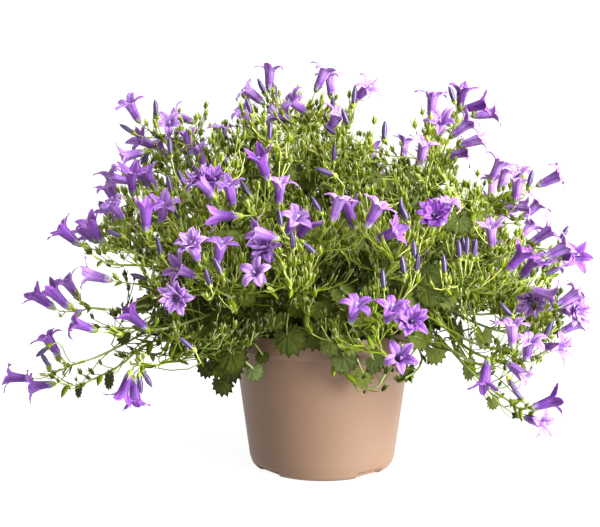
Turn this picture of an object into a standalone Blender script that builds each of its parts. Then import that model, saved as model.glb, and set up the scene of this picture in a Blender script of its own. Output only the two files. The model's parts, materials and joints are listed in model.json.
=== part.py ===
"""Bellflower in full bloom, standing in a plain nursery pot.

Units are metres, +Z is up, and the front of the plant looks along -Y. The origin is the centre of
the pot's flat underside. The pot and the soil are turned profiles. Eight rooted crowns stand in holes
in the soil and carry the stems, leaves and green buds. Each stem ends where a spray of blooms begins.
"""

import math
import random

import bmesh
import bpy
import numpy as np

SEED = 41
TOUCH_GAP = 0.0003

# Pot
RIM_RADIUS = 0.0650
RIM_TOP = 0.0970
RIM_LOWER_EDGE = 0.0840
RIM_THICKNESS = 0.0020
RIM_OVERHANG = 0.0060
WALL_TOP_RADIUS = 0.0598
WALL_BASE_RADIUS = 0.0486
WALL_THICKNESS = 0.0014
FOOT_CORNER = 0.0042
FLOOR_THICKNESS = 0.0060
POT_SIDES = 30
RIM_EDGE = (0.0008, 0.0010)
RIM_INNER_TAPER = 0.0004
NOTCHES = 4
NOTCH_WIDTH = 0.0220
NOTCH_DEPTH = 0.0060
NOTCH_HEIGHT = 0.0040
NOTCH_TAPER = 0.8
NOTCH_START = math.radians(-50.0)
DRAIN_HOLES = 4
DRAIN_HOLE_RADIUS = 0.0035
DRAIN_HOLE_REACH = 0.0230
DRAIN_HOLE_SIDES = 8
CUTTER_MARGIN = 0.0020

# Soil and the crowns that stand in it
SOIL_TOP = 0.0880
SOIL_CROWN = 0.0025
SOIL_EDGE_DROP = 0.0010
SOIL_SHOULDER = (0.6, 0.7)
LEDGE_GAP = 0.0004
SOIL_SIDES = 15
HOLE_SIDES = 6
CROWNS_ROUND = 7
CROWN_REACH = 0.0350
CROWN_RADIUS = 0.0062
CROWN_DEPTH = 0.0140
CROWN_RISE = 0.0070
CROWN_SIDES = 6
CROWN_PROFILE = ((-1.0, 0.8), (0.0, 1.0), (0.75, 0.85), (1.0, 0.35))
ROOT_SPREAD = 0.55
ROOT_FULL_REACH = 0.05
ROOT_SINK = 0.20
KNOB_CLEAR = (0.6, 0.8)

# Blooms
TUBE_LENGTH = 0.0130
TUBE_BASE_RADIUS = 0.0014
MOUTH_RADIUS = 0.0042
STAR_RADIUS = 0.0104
LOBES = 5
LOBE_LIFT = 0.0012
THROAT_DEPTH = 0.0065
LOBE_THICKNESS = 0.0010
RIB_SHARE = 0.72
BELL_CLEAR = (0.0026, 0.0019)
BELL_SKEW = (0.31, 0.17, 0.93)
PEDICEL_RADIUS = 0.0006
CLOSED_LENGTH = 0.0120
CLOSED_RADIUS = 0.0014
CLOSED_WIDEST = 0.55
STALK_RADIUS = 0.0009
STALK_LENGTH = 0.0080
STALK_DROP = 0.0150
STALK_SINK = 0.0008
STALK_SIDES = 4
STALK_SKEW = (0.1, 0.2, 1.0)
PEDICEL_SINK = 0.0005
PEDICEL_SPREAD = 0.6
PEDICEL_BENDS = (0.3, 0.35)
HOME_SHARE = 0.35
HOME_HEIGHT = 0.10
INNER_WEIGHT = 0.3
SPRAY_JITTER = 0.008
BLOOM_JITTER = 0.006
PEDICEL_POINTS = 3
FAR_PEDICEL_POINTS = 2

STALK_TRIES = [(drop, across, lift) for drop in (1.0, 1.4, 0.7, 1.9, 2.5)
               for across in (0.0, 0.004, -0.004, 0.009, -0.009, 0.014, -0.014)
               for lift in (0.0, 0.005, -0.005, 0.010, -0.010)]
DEPTH_SHIFTS = (0.0, 0.004, -0.004, 0.008, -0.008, 0.013, -0.013, 0.019, -0.019, 0.026, -0.026)
SIDE_SHIFTS = (0.0, 0.002, -0.002, 0.004, -0.004)
CLOSED_SHIFTS = (0.0, 0.005, -0.005, 0.010, -0.010, 0.016, -0.016)

# Stems, leaves and green buds
STEM_RADIUS = 0.0011
STEM_POINTS = 5
STEM_LIFTS = (0.0, 0.12, 0.24, -0.10, 0.36)
STEM_BENDS = (0.0, 0.06, -0.06, 0.12, -0.12, 0.20, -0.20, 0.28, -0.28)
STEM_RISE = 0.30
STEM_OUT = 0.12
STEM_END = 0.33
STEM_END_BEND = 0.6
RIM_CLEAR_FROM = 0.08
OWN_WEIGHT = 0.2
CROWDED = 0.006
CROWNS_TRIED = 5
TUBE_SKEW = (0.36, 0.48, 0.80)
BUD_RADIUS = 0.0011
BUD_LENGTH = 0.0055
BUD_STALK = (0.010, 0.024)
BUDS = 62
BUD_SPACING = 0.0150
BUD_TRIES = 60
BUD_SCATTER = 0.45
BUD_WAY = (0.6, 0.6, 0.5)
BUD_LIFT = 0.4
BUD_SHOULDER = 0.35
BUD_SINK = 0.4
LEAF_THICKNESS = 0.0013
LEAF_TEETH = 5
LEAF_SWEEP = math.radians(150)
LEAF_NOTCH = 0.86
LEAF_WAVE = 0.06
LEAF_FORM = (0.78, 0.30)
LEAF_WAVE_TURNS = (1.5, 900)
LEAF_HEEL = 0.10
LEAF_TRIES = 30
LEAF_SET = 0.4
LEAF_JITTER = (0.4, 0.3, 0.0006)
LEAF_OUT = (0.4, 1.0)
LEAF_UP = 0.8
LEAF_TILT = 0.5
LEAF_REACH = 0.5
LEAF_TURN = 0.9
LEAF_DROOP = (0.1, 0.8)
HANG_FROM_V = 315.0
HANG_RANGE_V = 35.0
HANG_UPRIGHT = 0.7
HANG_FACING = 0.9
RING_BEARING = 0.15
RING_OUT = (0.1, 0.8)
RING_UP = 0.9
RING_TILT = 0.4
RING_TURN = 0.6
PETIOLE_WAY = (0.8, 0.6)
PETIOLE_TRIES = 9
CROWN_PETIOLE_COST = 0.02
PETIOLE_RADIUS = 0.0006
PETIOLE_POINTS = 4
SHORT_PETIOLE_POINTS = 3
SHORT_PETIOLE = (0.008, 0.030)
RIM_CLEAR = 0.018
CLEARANCE = 0.0004
PATH_SAMPLES = 15
TINY = 1e-14

# Dome that the blooms lie on
DOME_CENTRE = np.array((0.0, 0.0, 0.105))
DOME_REACH = np.array((0.188, 0.160, 0.160))
DOME_FILL = 0.92
INNER_SHARE = 0.85
INNER_FROM_V = 200.0
INNER_RANGE_V = 70.0
GOLDEN = 0.6180

# View that the places of blooms and leaves are read from, as picture coordinates in pixels
EYE = np.array((-0.0151, -0.8255, 0.2589))
PITCH = math.radians(8.447)
FOCAL = 1247.0
PICTURE_CENTRE = (300.0, 263.5)

# Sprays on the near side. A bloom is its mouth, the root of its tube and how far it faces the view.
# A closed corolla is its tip and its root.
FRONT_SPRAYS = {
    "spray_01": ([(270, 70, 269, 89, 0.0), (247, 90, 262, 102, 0.1), (275, 115, 288, 119, -0.2)],
                 [(261, 85, 266, 95)]),
    "spray_02": ([(242, 111, 253, 125, 0.3), (222, 129, 222, 143, 0.1)], [(247, 128, 250, 136)]),
    "spray_03": ([(292, 101, 303, 110, 0.4), (325, 71, 317, 88, 0.0), (330, 77, 331, 93, 0.1)],
                 [(270, 129, 267, 143)]),
    "spray_04": ([(368, 87, 360, 95, 0.6), (338, 115, 333, 123, 0.3)],
                 [(355, 93, 355, 105), (328, 128, 339, 136)]),
    "spray_05": ([(433, 96, 431, 113, 0.0), (441, 121, 441, 129, 0.8), (424, 146, 422, 154, 0.2)],
                 [(418, 160, 417, 178)]),
    "spray_06": ([(462, 92, 459, 109, 0.2), (481, 105, 473, 107, 0.2), (493, 113, 481, 115, 0.2)],
                 [(451, 92, 455, 103)]),
    "spray_07": ([(467, 124, 452, 136, 0.0), (480, 139, 465, 144, 0.3), (463, 152, 448, 156, 0.1)], []),
    "spray_08": ([(500, 163, 493, 176, 0.1), (519, 171, 518, 178, 0.3), (518, 182, 516, 198, 0.0)], []),
    "spray_09": ([(558, 176, 541, 184, 0.2), (525, 206, 506, 206, 0.2)], []),
    "spray_10": ([(491, 228, 492, 246, 0.3)], [(464, 245, 466, 256), (459, 248, 459, 264)]),
    "spray_11": ([(549, 231, 531, 243, 0.2), (565, 247, 541, 259, 0.1), (576, 256, 566, 257, 0.8)], []),
    "spray_12": ([(521, 255, 509, 269, 0.1), (534, 262, 527, 270, 0.3)], [(475, 247, 477, 259)]),
    "spray_13": ([(550, 295, 536, 291, 0.2), (530, 301, 530, 292, 0.9)], [(502, 305, 513, 317)]),
    "spray_14": ([(576, 311, 557, 310, 0.8), (575, 294, 566, 300, 0.0), (561, 348, 553, 347, 0.7)],
                 [(549, 328, 546, 335)]),
    "spray_15": ([(512, 326, 513, 349, 0.1), (530, 341, 528, 350, 0.4)], []),
    "spray_16": ([(524, 376, 519, 372, 0.5), (485, 381, 486, 372, 0.4)], [(514, 389, 523, 401)]),
    "spray_17": ([(552, 401, 532, 408, -0.1), (542, 423, 529, 419, 0.7)], []),
    "spray_18": ([(130, 105, 137, 118, 0.4)], [(119, 124, 135, 134), (156, 106, 155, 123)]),
    "spray_19": ([(141, 140, 156, 148, 0.6), (126, 156, 135, 154, 0.2)], [(145, 158, 150, 150)]),
    "spray_20": ([(169, 123, 169, 131, 0.8), (176, 115, 195, 123, -0.1)], [(157, 136, 165, 141)]),
    "spray_21": ([(188, 136, 191, 156, 0.0), (198, 151, 203, 163, 0.2)], []),
    "spray_22": ([(113, 178, 123, 180, 0.3), (131, 175, 132, 186, 0.3), (147, 174, 152, 183, 0.2)], []),
    "spray_23": ([(111, 204, 125, 221, 0.3), (91, 225, 101, 241, 0.4), (63, 231, 81, 246, 0.0)],
                 [(104, 230, 124, 237)]),
    "spray_24": ([(164, 205, 160, 228, 0.5), (146, 210, 146, 222, 0.0)],
                 [(167, 174, 172, 194), (159, 245, 161, 257)]),
    "spray_25": ([(211, 180, 209, 199, 0.4), (229, 186, 233, 204, 0.2), (200, 181, 208, 190, 0.2)],
                 [(178, 170, 186, 188)]),
    "spray_26": ([(261, 160, 267, 177, 0.3), (280, 184, 278, 205, 0.2), (219, 216, 237, 216, -0.2)],
                 [(240, 179, 251, 198)]),
    "spray_27": ([(257, 232, 275, 238, 0.2), (265, 248, 270, 256, 0.7), (255, 272, 260, 277, 0.8)], []),
    "spray_28": ([(296, 218, 288, 231, 0.6), (306, 225, 296, 239, 0.0)],
                 [(314, 252, 301, 241), (316, 204, 322, 214)]),
    "spray_29": ([(339, 201, 332, 222, 0.0), (349, 208, 355, 231, 0.0)], [(321, 170, 336, 176)]),
    "spray_30": ([(378, 207, 369, 223, 0.2), (394, 232, 376, 240, 0.5)], [(402, 207, 409, 223)]),
    "spray_31": ([(434, 216, 434, 227, 0.9), (447, 203, 444, 215, 0.2)], [(403, 264, 403, 280)]),
    "spray_32": ([(192, 245, 199, 262, 0.6), (221, 244, 217, 264, 0.2)], []),
    "spray_33": ([(179, 269, 191, 274, 0.5), (177, 297, 186, 292, 0.9)], [(219, 268, 223, 276)]),
    "spray_34": ([(89, 275, 110, 280, 0.1)], [(127, 273, 149, 280)]),
    "spray_35": ([(67, 282, 77, 296, 0.1), (54, 293, 64, 303, 0.1), (37, 296, 51, 306, 0.2)], []),
    "spray_36": ([(75, 323, 89, 328, 0.3), (132, 316, 143, 326, 0.0)], []),
    "spray_37": ([(48, 339, 58, 354, 0.2), (11, 377, 32, 379, 0.1), (34, 386, 53, 384, 0.0)],
                 [(41, 353, 50, 368)]),
    "spray_38": ([(123, 393, 128, 378, 0.1), (135, 399, 134, 386, 0.2)], [(152, 387, 142, 370)]),
    "spray_39": ([(356, 305, 351, 322, 0.5), (392, 308, 387, 321, 0.7), (411, 322, 409, 332, 0.9)],
                 [(383, 276, 384, 290)]),
    "spray_40": ([(400, 357, 397, 363, 0.97)], []),
}

# Sprays on the far side, placed by rule
FAR_SPRAYS = 10
FAR_BLOOMS = 5
FAR_SPREAD = 0.026
FAR_FACING = (0.7, 0.4)
FAR_TURN = 0.2
FAR_REACH = (0.6, 1.1)
FAR_LEAN = (0.3, 0.8)
FAR_LOWEST = 5.0
FAR_RISE = 40.0

# Leaves that show. Each is its picture place, its distance from the pot's axis and its size.
SHOWN_LEAVES = [
    (163, 311, 0.114, 0.0095), (175, 350, 0.102, 0.0090), (207, 346, 0.092, 0.0095),
    (205, 368, 0.090, 0.0090), (228, 371, 0.084, 0.0115), (222, 386, 0.081, 0.0095),
    (122, 337, 0.140, 0.0070), (110, 381, 0.148, 0.0075), (79, 391, 0.166, 0.0060),
    (291, 342, 0.079, 0.0125), (313, 338, 0.074, 0.0105), (334, 345, 0.079, 0.0100),
    (345, 362, 0.075, 0.0105), (363, 379, 0.075, 0.0085), (376, 364, 0.077, 0.0080),
    (407, 373, 0.078, 0.0080), (425, 337, 0.090, 0.0100), (457, 331, 0.103, 0.0105),
    (437, 354, 0.096, 0.0095), (483, 339, 0.114, 0.0095), (470, 370, 0.108, 0.0095),
    (493, 403, 0.120, 0.0060), (458, 225, 0.130, 0.0100), (430, 275, 0.120, 0.0110),
    (433, 296, 0.112, 0.0110), (285, 176, 0.090, 0.0105), (240, 268, 0.105, 0.0120),
    (232, 300, 0.100, 0.0120), (252, 322, 0.086, 0.0110), (372, 300, 0.090, 0.0110),
    (196, 312, 0.104, 0.0110), (330, 318, 0.086, 0.0110),
]
RING_SIZE = (0.011, 0.015)
COLLAR_LEAVES = 18
COLLAR_FROM = math.radians(-25)
COLLAR_ARC = math.radians(230)
COLLAR_REACH = (0.060, 0.125)
COLLAR_HEIGHT = (0.118, 0.153)
COLLAR_FALL = 0.15
HEART_LEAVES = 12
HEART_REACH = (0.006, 0.056)
HEART_HEIGHT = (0.108, 0.165)


def unit(vector):
    return vector / np.linalg.norm(vector)


def sight(u, v):
    """Direction of the line of sight through a picture point, scaled to 1 along +Y."""
    ahead = np.array((0.0, math.cos(PITCH), -math.sin(PITCH)))
    above = np.array((0.0, math.sin(PITCH), math.cos(PITCH)))
    line = ahead * FOCAL + above * (PICTURE_CENTRE[1] - v)
    line[0] = u - PICTURE_CENTRE[0]
    return line / line[1]


def at_depth(u, v, depth):
    """The point seen at a picture place, on the plane y = depth."""
    return EYE + sight(u, v) * (depth - EYE[1])


def dome_depths(u, v):
    """The y at which the line of sight enters and leaves the dome, or passes nearest to it."""
    line = sight(u, v) / DOME_REACH
    start = (EYE - DOME_CENTRE) / DOME_REACH
    nearest = -start.dot(line) / line.dot(line)
    inside = 1.0 - (start.dot(start) - nearest * nearest * line.dot(line))
    half_chord = math.sqrt(max(inside, 0.0) / line.dot(line))
    return EYE[1] + nearest - half_chord, EYE[1] + nearest + half_chord


def at_reach(u, v, reach):
    """The nearer point seen at a picture place, at a distance from the pot's axis."""
    line = sight(u, v)
    a = line[0] ** 2 + line[1] ** 2
    b = EYE[0] * line[0] + EYE[1] * line[1]
    c = EYE[0] ** 2 + EYE[1] ** 2 - reach ** 2
    return EYE - line * (b + math.sqrt(max(b * b - a * c, 0.0))) / a


def bezier(ends, handles, count):
    t = np.linspace(0.0, 1.0, count)[:, None]
    s = 1.0 - t
    return (s ** 3 * ends[0] + 3 * s * s * t * handles[0] + 3 * s * t * t * handles[1]
            + t ** 3 * ends[1])


def spans(points, radius):
    """Capsules along a line of points."""
    return [(points[i], points[i + 1], radius) for i in range(len(points) - 1)]


def least_gap(capsules, start, end, radius):
    """The least distance between the surfaces of two groups of capsules."""
    if not len(start):
        return 1.0
    along = end - start
    length = np.maximum((along * along).sum(1), TINY)
    least = 1.0
    for first, last, thickness in capsules:
        line = last - first
        size = max(line.dot(line), TINY)
        offset = first - start
        cross = along @ line
        ahead = offset @ line
        back = (along * offset).sum(1)
        spread = np.maximum(size * length - cross * cross, TINY ** 2)
        s = np.clip((cross * back - ahead * length) / spread, 0.0, 1.0)
        t = np.clip((cross * s + back) / length, 0.0, 1.0)
        s = np.clip((cross * t - ahead) / size, 0.0, 1.0)
        gap = offset + s[:, None] * line - t[:, None] * along
        least = min(least, float((np.sqrt((gap * gap).sum(1)) - radius).min()) - thickness)
    return least


class Space:
    """Everything placed so far, as capsules, so that each new piece is bent clear of it."""

    def __init__(self, limit=60000):
        self.start = np.zeros((limit, 3))
        self.end = np.zeros((limit, 3))
        self.radius = np.zeros(limit)
        self.owner = np.full(limit, "", dtype="U16")
        self.count = 0

    def add(self, capsules, owner):
        for start, end, radius in capsules:
            self.start[self.count] = start
            self.end[self.count] = end
            self.radius[self.count] = radius
            self.owner[self.count] = owner
            self.count += 1

    def room(self, capsules, *skipped):
        """The least clearance to the pieces of all owners but the skipped ones."""
        keep = np.ones(self.count, bool)
        for owner in skipped:
            keep &= self.owner[:self.count] != owner
        n = self.count
        return least_gap(capsules, self.start[:n][keep], self.end[:n][keep], self.radius[:n][keep])


def off_pot(capsules):
    """Whether capsules stay off the pot's wall and rim, above the soil and above the ground."""
    steps = np.linspace(0.0, 1.0, PATH_SAMPLES)[:, None]
    for start, end, radius in capsules:
        margin = radius + CLEARANCE
        points = start + (end - start) * steps
        reach = np.hypot(points[:, 0], points[:, 1])
        height = points[:, 2]
        low = (reach < RIM_RADIUS + margin) & (height < RIM_TOP + margin)
        wall = reach > RIM_RADIUS - RIM_OVERHANG - margin
        soil = height < SOIL_TOP + SOIL_CROWN + margin
        if (low & (wall | soil)).any() or (height < margin).any():
            return False
    return True


class Bloom:
    """An open bloom: where its mouth is, which way it faces, and its turn about that line."""

    def __init__(self, mouth, axis, turn, size=1.0):
        self.mouth = mouth
        self.axis = unit(axis)
        self.turn = turn
        self.size = size
        self.root = mouth - self.axis * TUBE_LENGTH * size

    def around(self, angle, radius, lift):
        """A point around the bloom's line, at a radius and a lift beyond the mouth."""
        side = unit(np.cross(self.axis, BELL_SKEW))
        other = np.cross(self.axis, side)
        ring = side * math.cos(angle + self.turn) + other * math.sin(angle + self.turn)
        return self.mouth + (ring * radius + self.axis * lift) * self.size

    def capsules(self):
        half = (self.root + self.mouth) / 2
        step = 2 * math.pi / LOBES
        tips = [self.around(step * k, STAR_RADIUS, LOBE_LIFT) for k in range(LOBES)]
        return ([(self.root, half, BELL_CLEAR[0] * self.size), (half, self.mouth, MOUTH_RADIUS * self.size)]
                + [(self.mouth, tip, BELL_CLEAR[1]) for tip in tips])


class Spray:
    """Blooms and closed corollas on pedicels that leave one short stalk."""

    def __init__(self, name, pedicel_points):
        self.name = name
        self.pedicel_points = pedicel_points
        self.blooms = []
        self.closed = []
        self.pedicels = []
        self.top = None
        self.seat = None

    def try_stalk(self, space, top, seat):
        """Pedicels from a stalk to each bloom, with how clear they are of all else."""
        ends = ([(bloom.root, bloom.axis) for bloom in self.blooms]
                + [(root, unit(tip - root)) for tip, root in self.closed])
        parts = ([bloom.capsules() for bloom in self.blooms]
                 + [[(root, tip, CLOSED_RADIUS)] for tip, root in self.closed])
        down = unit(seat - top)
        lines = []
        inner = 1.0
        for k, (root, axis) in enumerate(ends):
            foot = top + down * (PEDICEL_SINK + STALK_LENGTH * PEDICEL_SPREAD * k / len(ends))
            reach = np.linalg.norm(root - foot)
            count = self.pedicel_points if k < len(self.blooms) else FAR_PEDICEL_POINTS
            handles = (foot - down * reach * PEDICEL_BENDS[0], root - axis * reach * PEDICEL_BENDS[1])
            points = bezier((foot, root), handles, count)
            lines.append(points)
            others = [capsule for j, part in enumerate(parts) if j != k for capsule in part]
            if others:
                start, end, radius = (np.array(column) for column in zip(*others))
                inner = min(inner, least_gap(spans(points, PEDICEL_RADIUS), start, end, radius))
        trial = spans([top, seat], STALK_RADIUS)
        trial += [span for points in lines for span in spans(points, PEDICEL_RADIUS)]
        room = space.room(trial, self.name) if off_pot(trial) else -1.0
        return room, inner, lines, trial

    def join(self, space):
        """Finds a place for the stalk that brings all pedicels clear."""
        roots = [bloom.root for bloom in self.blooms] + [root for tip, root in self.closed]
        middle = sum(roots) / len(roots)
        home = np.array((middle[0] * HOME_SHARE, middle[1] * HOME_SHARE, HOME_HEIGHT))
        back = unit(home - middle)
        side = unit(np.cross(back, STALK_SKEW))
        other = np.cross(back, side)
        best = None
        for drop, across, lift in STALK_TRIES:
            top = middle + back * STALK_DROP * drop + side * across + other * lift
            seat = top + back * STALK_LENGTH
            room, inner, lines, trial = self.try_stalk(space, top, seat)
            score = min(room, CLEARANCE) + INNER_WEIGHT * min(inner, CLEARANCE)
            if best is None or score > best[0]:
                best = (score, top, seat, lines, trial)
            if room >= CLEARANCE and inner >= CLEARANCE:
                break
        self.top, self.seat, self.pedicels = best[1:4]
        space.add(best[4], self.name)


def fit_bloom(space, bloom_at, name):
    """The bloom that needs the least shift along and across the line of sight to be clear."""
    for across in SIDE_SHIFTS:
        for shift in DEPTH_SHIFTS:
            bloom = bloom_at(shift, across)
            if off_pot(bloom.capsules()) and space.room(bloom.capsules()) >= CLEARANCE:
                space.add(bloom.capsules(), name)
                return bloom
    return None


def shown_spray(rng, space, name, marks, closed_marks):
    """A spray on the near side, from its picture places."""
    spray = Spray(name, PEDICEL_POINTS)
    middle_u = sum(mark[0] + mark[2] for mark in marks) / (2 * len(marks))
    middle_v = sum(mark[1] + mark[3] for mark in marks) / (2 * len(marks))
    near, far = dome_depths(middle_u, middle_v)
    height = min(1.0, max(0.0, (INNER_FROM_V - middle_v) / INNER_RANGE_V))
    depth = (near + (far - near) * rng.uniform(0.0, INNER_SHARE) * height) * DOME_FILL
    depth += rng.uniform(-SPRAY_JITTER, SPRAY_JITTER)
    for mouth_u, mouth_v, root_u, root_v, facing in marks:
        turn = rng.uniform(0, 2 * math.pi)
        own_depth = depth + rng.uniform(-BLOOM_JITTER, BLOOM_JITTER)

        def bloom_at(shift, across):
            mouth = at_depth(mouth_u, mouth_v, own_depth + shift) + np.array((across, 0.0, -across))
            root = at_depth(root_u, root_v, own_depth + shift)
            line = unit(mouth - root) * math.sqrt(1 - facing * facing)
            return Bloom(mouth, line + unit(EYE - mouth) * facing, turn)

        bloom = fit_bloom(space, bloom_at, name)
        if bloom is not None:
            spray.blooms.append(bloom)
    for tip_u, tip_v, root_u, root_v in closed_marks:
        for shift in CLOSED_SHIFTS:
            root = at_depth(root_u, root_v, depth + shift)
            tip = root + unit(at_depth(tip_u, tip_v, depth + shift) - root) * CLOSED_LENGTH
            trial = [(root, tip, CLOSED_RADIUS)]
            if space.room(trial) >= CLEARANCE:
                space.add(trial, name)
                spray.closed.append((tip, root))
                break
    return spray


def far_spray(rng, space, name, index):
    """A spray on the far side: blooms round a point of the dome, facing outward and up."""
    spray = Spray(name, FAR_PEDICEL_POINTS)
    bearing = math.pi * (index + 0.5) / FAR_SPRAYS
    rise = math.radians(FAR_LOWEST + FAR_RISE * ((index * GOLDEN) % 1.0))
    normal = np.array((math.cos(rise) * math.cos(bearing), math.cos(rise) * math.sin(bearing),
                       math.sin(rise)))
    centre = DOME_CENTRE + DOME_REACH * normal * DOME_FILL
    level = unit(np.cross(normal, (0.0, 0.0, 1.0)))
    upward = np.cross(level, normal)
    for k in range(FAR_BLOOMS):
        angle = 2 * math.pi * (k + rng.uniform(-FAR_TURN, FAR_TURN)) / FAR_BLOOMS
        spread = FAR_SPREAD * rng.uniform(*FAR_REACH)
        offset = level * math.cos(angle) + upward * math.sin(angle)
        turn = rng.uniform(0, 2 * math.pi)
        lean = rng.uniform(*FAR_LEAN)

        def bloom_at(shift, across):
            mouth = centre + offset * (spread + across) - normal * shift
            facing = normal * FAR_FACING[0] + offset * FAR_FACING[1]
            return Bloom(mouth, facing + np.array((0, 0, lean)), turn)

        bloom = fit_bloom(space, bloom_at, name)
        if bloom is not None:
            spray.blooms.append(bloom)
    return spray


class Crown:
    """A rooted crown, with the stems, leaves and buds that grow from it."""

    def __init__(self, name, x, y):
        self.name = name
        self.top = np.array((x, y, SOIL_TOP + CROWN_RISE))
        self.stems = []
        self.leaves = []
        self.buds = []

    def root_for(self, end):
        """Where a stem toward a point leaves the crown: on the side that faces it."""
        across = end[:2] - self.top[:2]
        away = min(1.0, np.linalg.norm(across) / ROOT_FULL_REACH) * CROWN_RADIUS * ROOT_SPREAD
        outward = np.append(across, 0.0) / max(np.linalg.norm(across), 1e-6)
        return self.top + outward * away - np.array((0.0, 0.0, CROWN_RISE * ROOT_SINK))

    def knob(self):
        foot = self.top - np.array((0.0, 0.0, CROWN_RISE))
        end = self.top - np.array((0.0, 0.0, CROWN_RADIUS * KNOB_CLEAR[0]))
        return [(foot, end, CROWN_RADIUS * KNOB_CLEAR[1])]


def route(space, crown, start, end, end_way, radius, count, goal=""):
    """A curve from a root to a point, bent more at each try until it is clear of other pieces."""
    across = end[:2] - start[:2]
    outward = np.append(across, 0.0) / max(np.linalg.norm(across), 1e-6)
    sideways = np.array((-outward[1], outward[0], 0.0))
    reach = np.linalg.norm(end - start)
    best = None
    for lift in STEM_LIFTS:
        for bend in STEM_BENDS:
            rise = (STEM_RISE + lift) * reach + RIM_CLEAR * min(1.0, reach / RIM_CLEAR_FROM)
            near = (start + outward * reach * STEM_OUT + sideways * bend * reach
                    + np.array((0.0, 0.0, rise)))
            far = (end - end_way * reach * STEM_END + sideways * bend * reach * STEM_END_BEND
                   + np.array((0.0, 0.0, lift * reach * STEM_END_BEND)))
            points = bezier((start, end), (near, far), count)
            pieces = spans(points, radius)
            if not off_pot(pieces):
                continue
            room = min(space.room(pieces[:-1], crown.name), space.room(pieces[-1:], crown.name, goal))
            own = space.room(pieces[1:-1]) if len(pieces) > 2 else 1.0
            score = min(room, CLEARANCE) + OWN_WEIGHT * min(own, CLEARANCE)
            if best is None or score > best[0]:
                best = (score, room, points)
            if score >= (1.0 + OWN_WEIGHT) * CLEARANCE:
                return best[1:]
    return best and best[1:]


def grow_stem(space, crowns, spray):
    """A stem that ends a small gap short of the spray's stalk, from the best placed crown."""
    way = unit(spray.top - spray.seat)
    end = spray.seat - way * TOUCH_GAP
    nearest = sorted(crowns, key=lambda crown: np.linalg.norm(crown.top - end)
                     + CROWDED * len(crown.stems))
    best = None
    for crown in nearest[:CROWNS_TRIED]:
        found = route(space, crown, crown.root_for(end), end, way, STEM_RADIUS, STEM_POINTS, spray.name)
        if found and (best is None or found[0] > best[0]):
            best = (found[0], found[1], crown)
        if best and best[0] >= CLEARANCE:
            break
    room, points, crown = best
    crown.stems.append(points)
    space.add(spans(points, STEM_RADIUS), crown.name)


class Leaf:
    """A heart-shaped toothed blade: its petiole's end, its midrib's way, its upper side."""

    def __init__(self, base, way, normal, size):
        self.base = base
        self.way = unit(way)
        self.side = unit(np.cross(normal, self.way))
        self.normal = np.cross(self.way, self.side)
        self.size = size
        self.petiole = None

    def outline(self):
        count = 2 * LEAF_TEETH + 1
        points = []
        for k in range(count):
            angle = LEAF_SWEEP * (2 * k / (count - 1) - 1)
            notch = 1.0 if k % 2 == 0 else LEAF_NOTCH
            reach = self.size * (LEAF_FORM[0] + LEAF_FORM[1] * math.cos(angle)) * notch
            phase = LEAF_WAVE_TURNS[0] * angle + LEAF_WAVE_TURNS[1] * self.size
            wave = self.size * LEAF_WAVE * math.cos(phase)
            points.append(self.base + self.way * reach * math.cos(angle)
                          + self.side * reach * math.sin(angle) + self.normal * wave)
        points.append(self.base - self.way * self.size * LEAF_HEEL)
        return points

    def capsules(self):
        outline = self.outline()
        ring = outline + outline[:1]
        half = LEAF_THICKNESS / 2
        return spans(ring, half) + [(self.base, point, half) for point in outline]


def grow_leaf(space, crowns, leaf):
    """Sets a blade where it is clear and runs a petiole to it from a near stem or crown."""
    if not off_pot(leaf.capsules()) or space.room(leaf.capsules()) < CLEARANCE:
        return False
    way = unit(leaf.way * PETIOLE_WAY[0] + leaf.normal * PETIOLE_WAY[1])
    roots = []
    for crown in crowns:
        for stem in crown.stems:
            for k in range(1, len(stem) - 1):
                root = (stem[k] + stem[k - 1]) / 2
                reach = np.linalg.norm(root - leaf.base)
                if SHORT_PETIOLE[0] < reach < SHORT_PETIOLE[1]:
                    roots.append((reach, len(roots), crown, root, SHORT_PETIOLE_POINTS))
        root = crown.root_for(leaf.base)
        cost = np.linalg.norm(root - leaf.base) + CROWN_PETIOLE_COST
        roots.append((cost, len(roots), crown, root, PETIOLE_POINTS))
    for reach, order, crown, root, count in sorted(roots)[:PETIOLE_TRIES]:
        found = route(space, crown, root, leaf.base, way, PETIOLE_RADIUS, count)
        if found and found[0] >= CLEARANCE:
            leaf.petiole = found[1]
            crown.leaves.append(leaf)
            space.add(leaf.capsules() + spans(found[1], PETIOLE_RADIUS), crown.name)
            return True
    return False


def shown_leaf(rng, space, crowns, u, v, reach, size):
    """A leaf at a picture place, turned and moved until it has room. The lowest ones hang."""
    hang = min(1.0, max(0.0, (v - HANG_FROM_V) / HANG_RANGE_V))
    for attempt in range(LEAF_TRIES):
        shifts = [rng.uniform(-1, 1) * attempt * jitter for jitter in LEAF_JITTER]
        place = at_reach(u + shifts[0], v + shifts[1], reach + shifts[2])
        outward = unit(np.array((place[0], place[1], 0.0)))
        level = np.array((-outward[1], outward[0], 0.0))
        normal = (outward * (rng.uniform(*LEAF_OUT) + hang) + level * rng.uniform(-LEAF_TILT, LEAF_TILT)
                  + np.array((0, -HANG_FACING * hang, LEAF_UP * (1 - HANG_UPRIGHT * hang))))
        way = outward * LEAF_REACH * (1 - hang) + level * rng.uniform(-LEAF_TURN, LEAF_TURN)
        way[2] -= rng.uniform(*LEAF_DROOP) + hang
        way = unit(way - unit(normal) * way.dot(unit(normal)))
        leaf = Leaf(place - way * size * LEAF_SET, way, normal, size)
        if grow_leaf(space, crowns, leaf):
            return True
    return False


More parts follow.
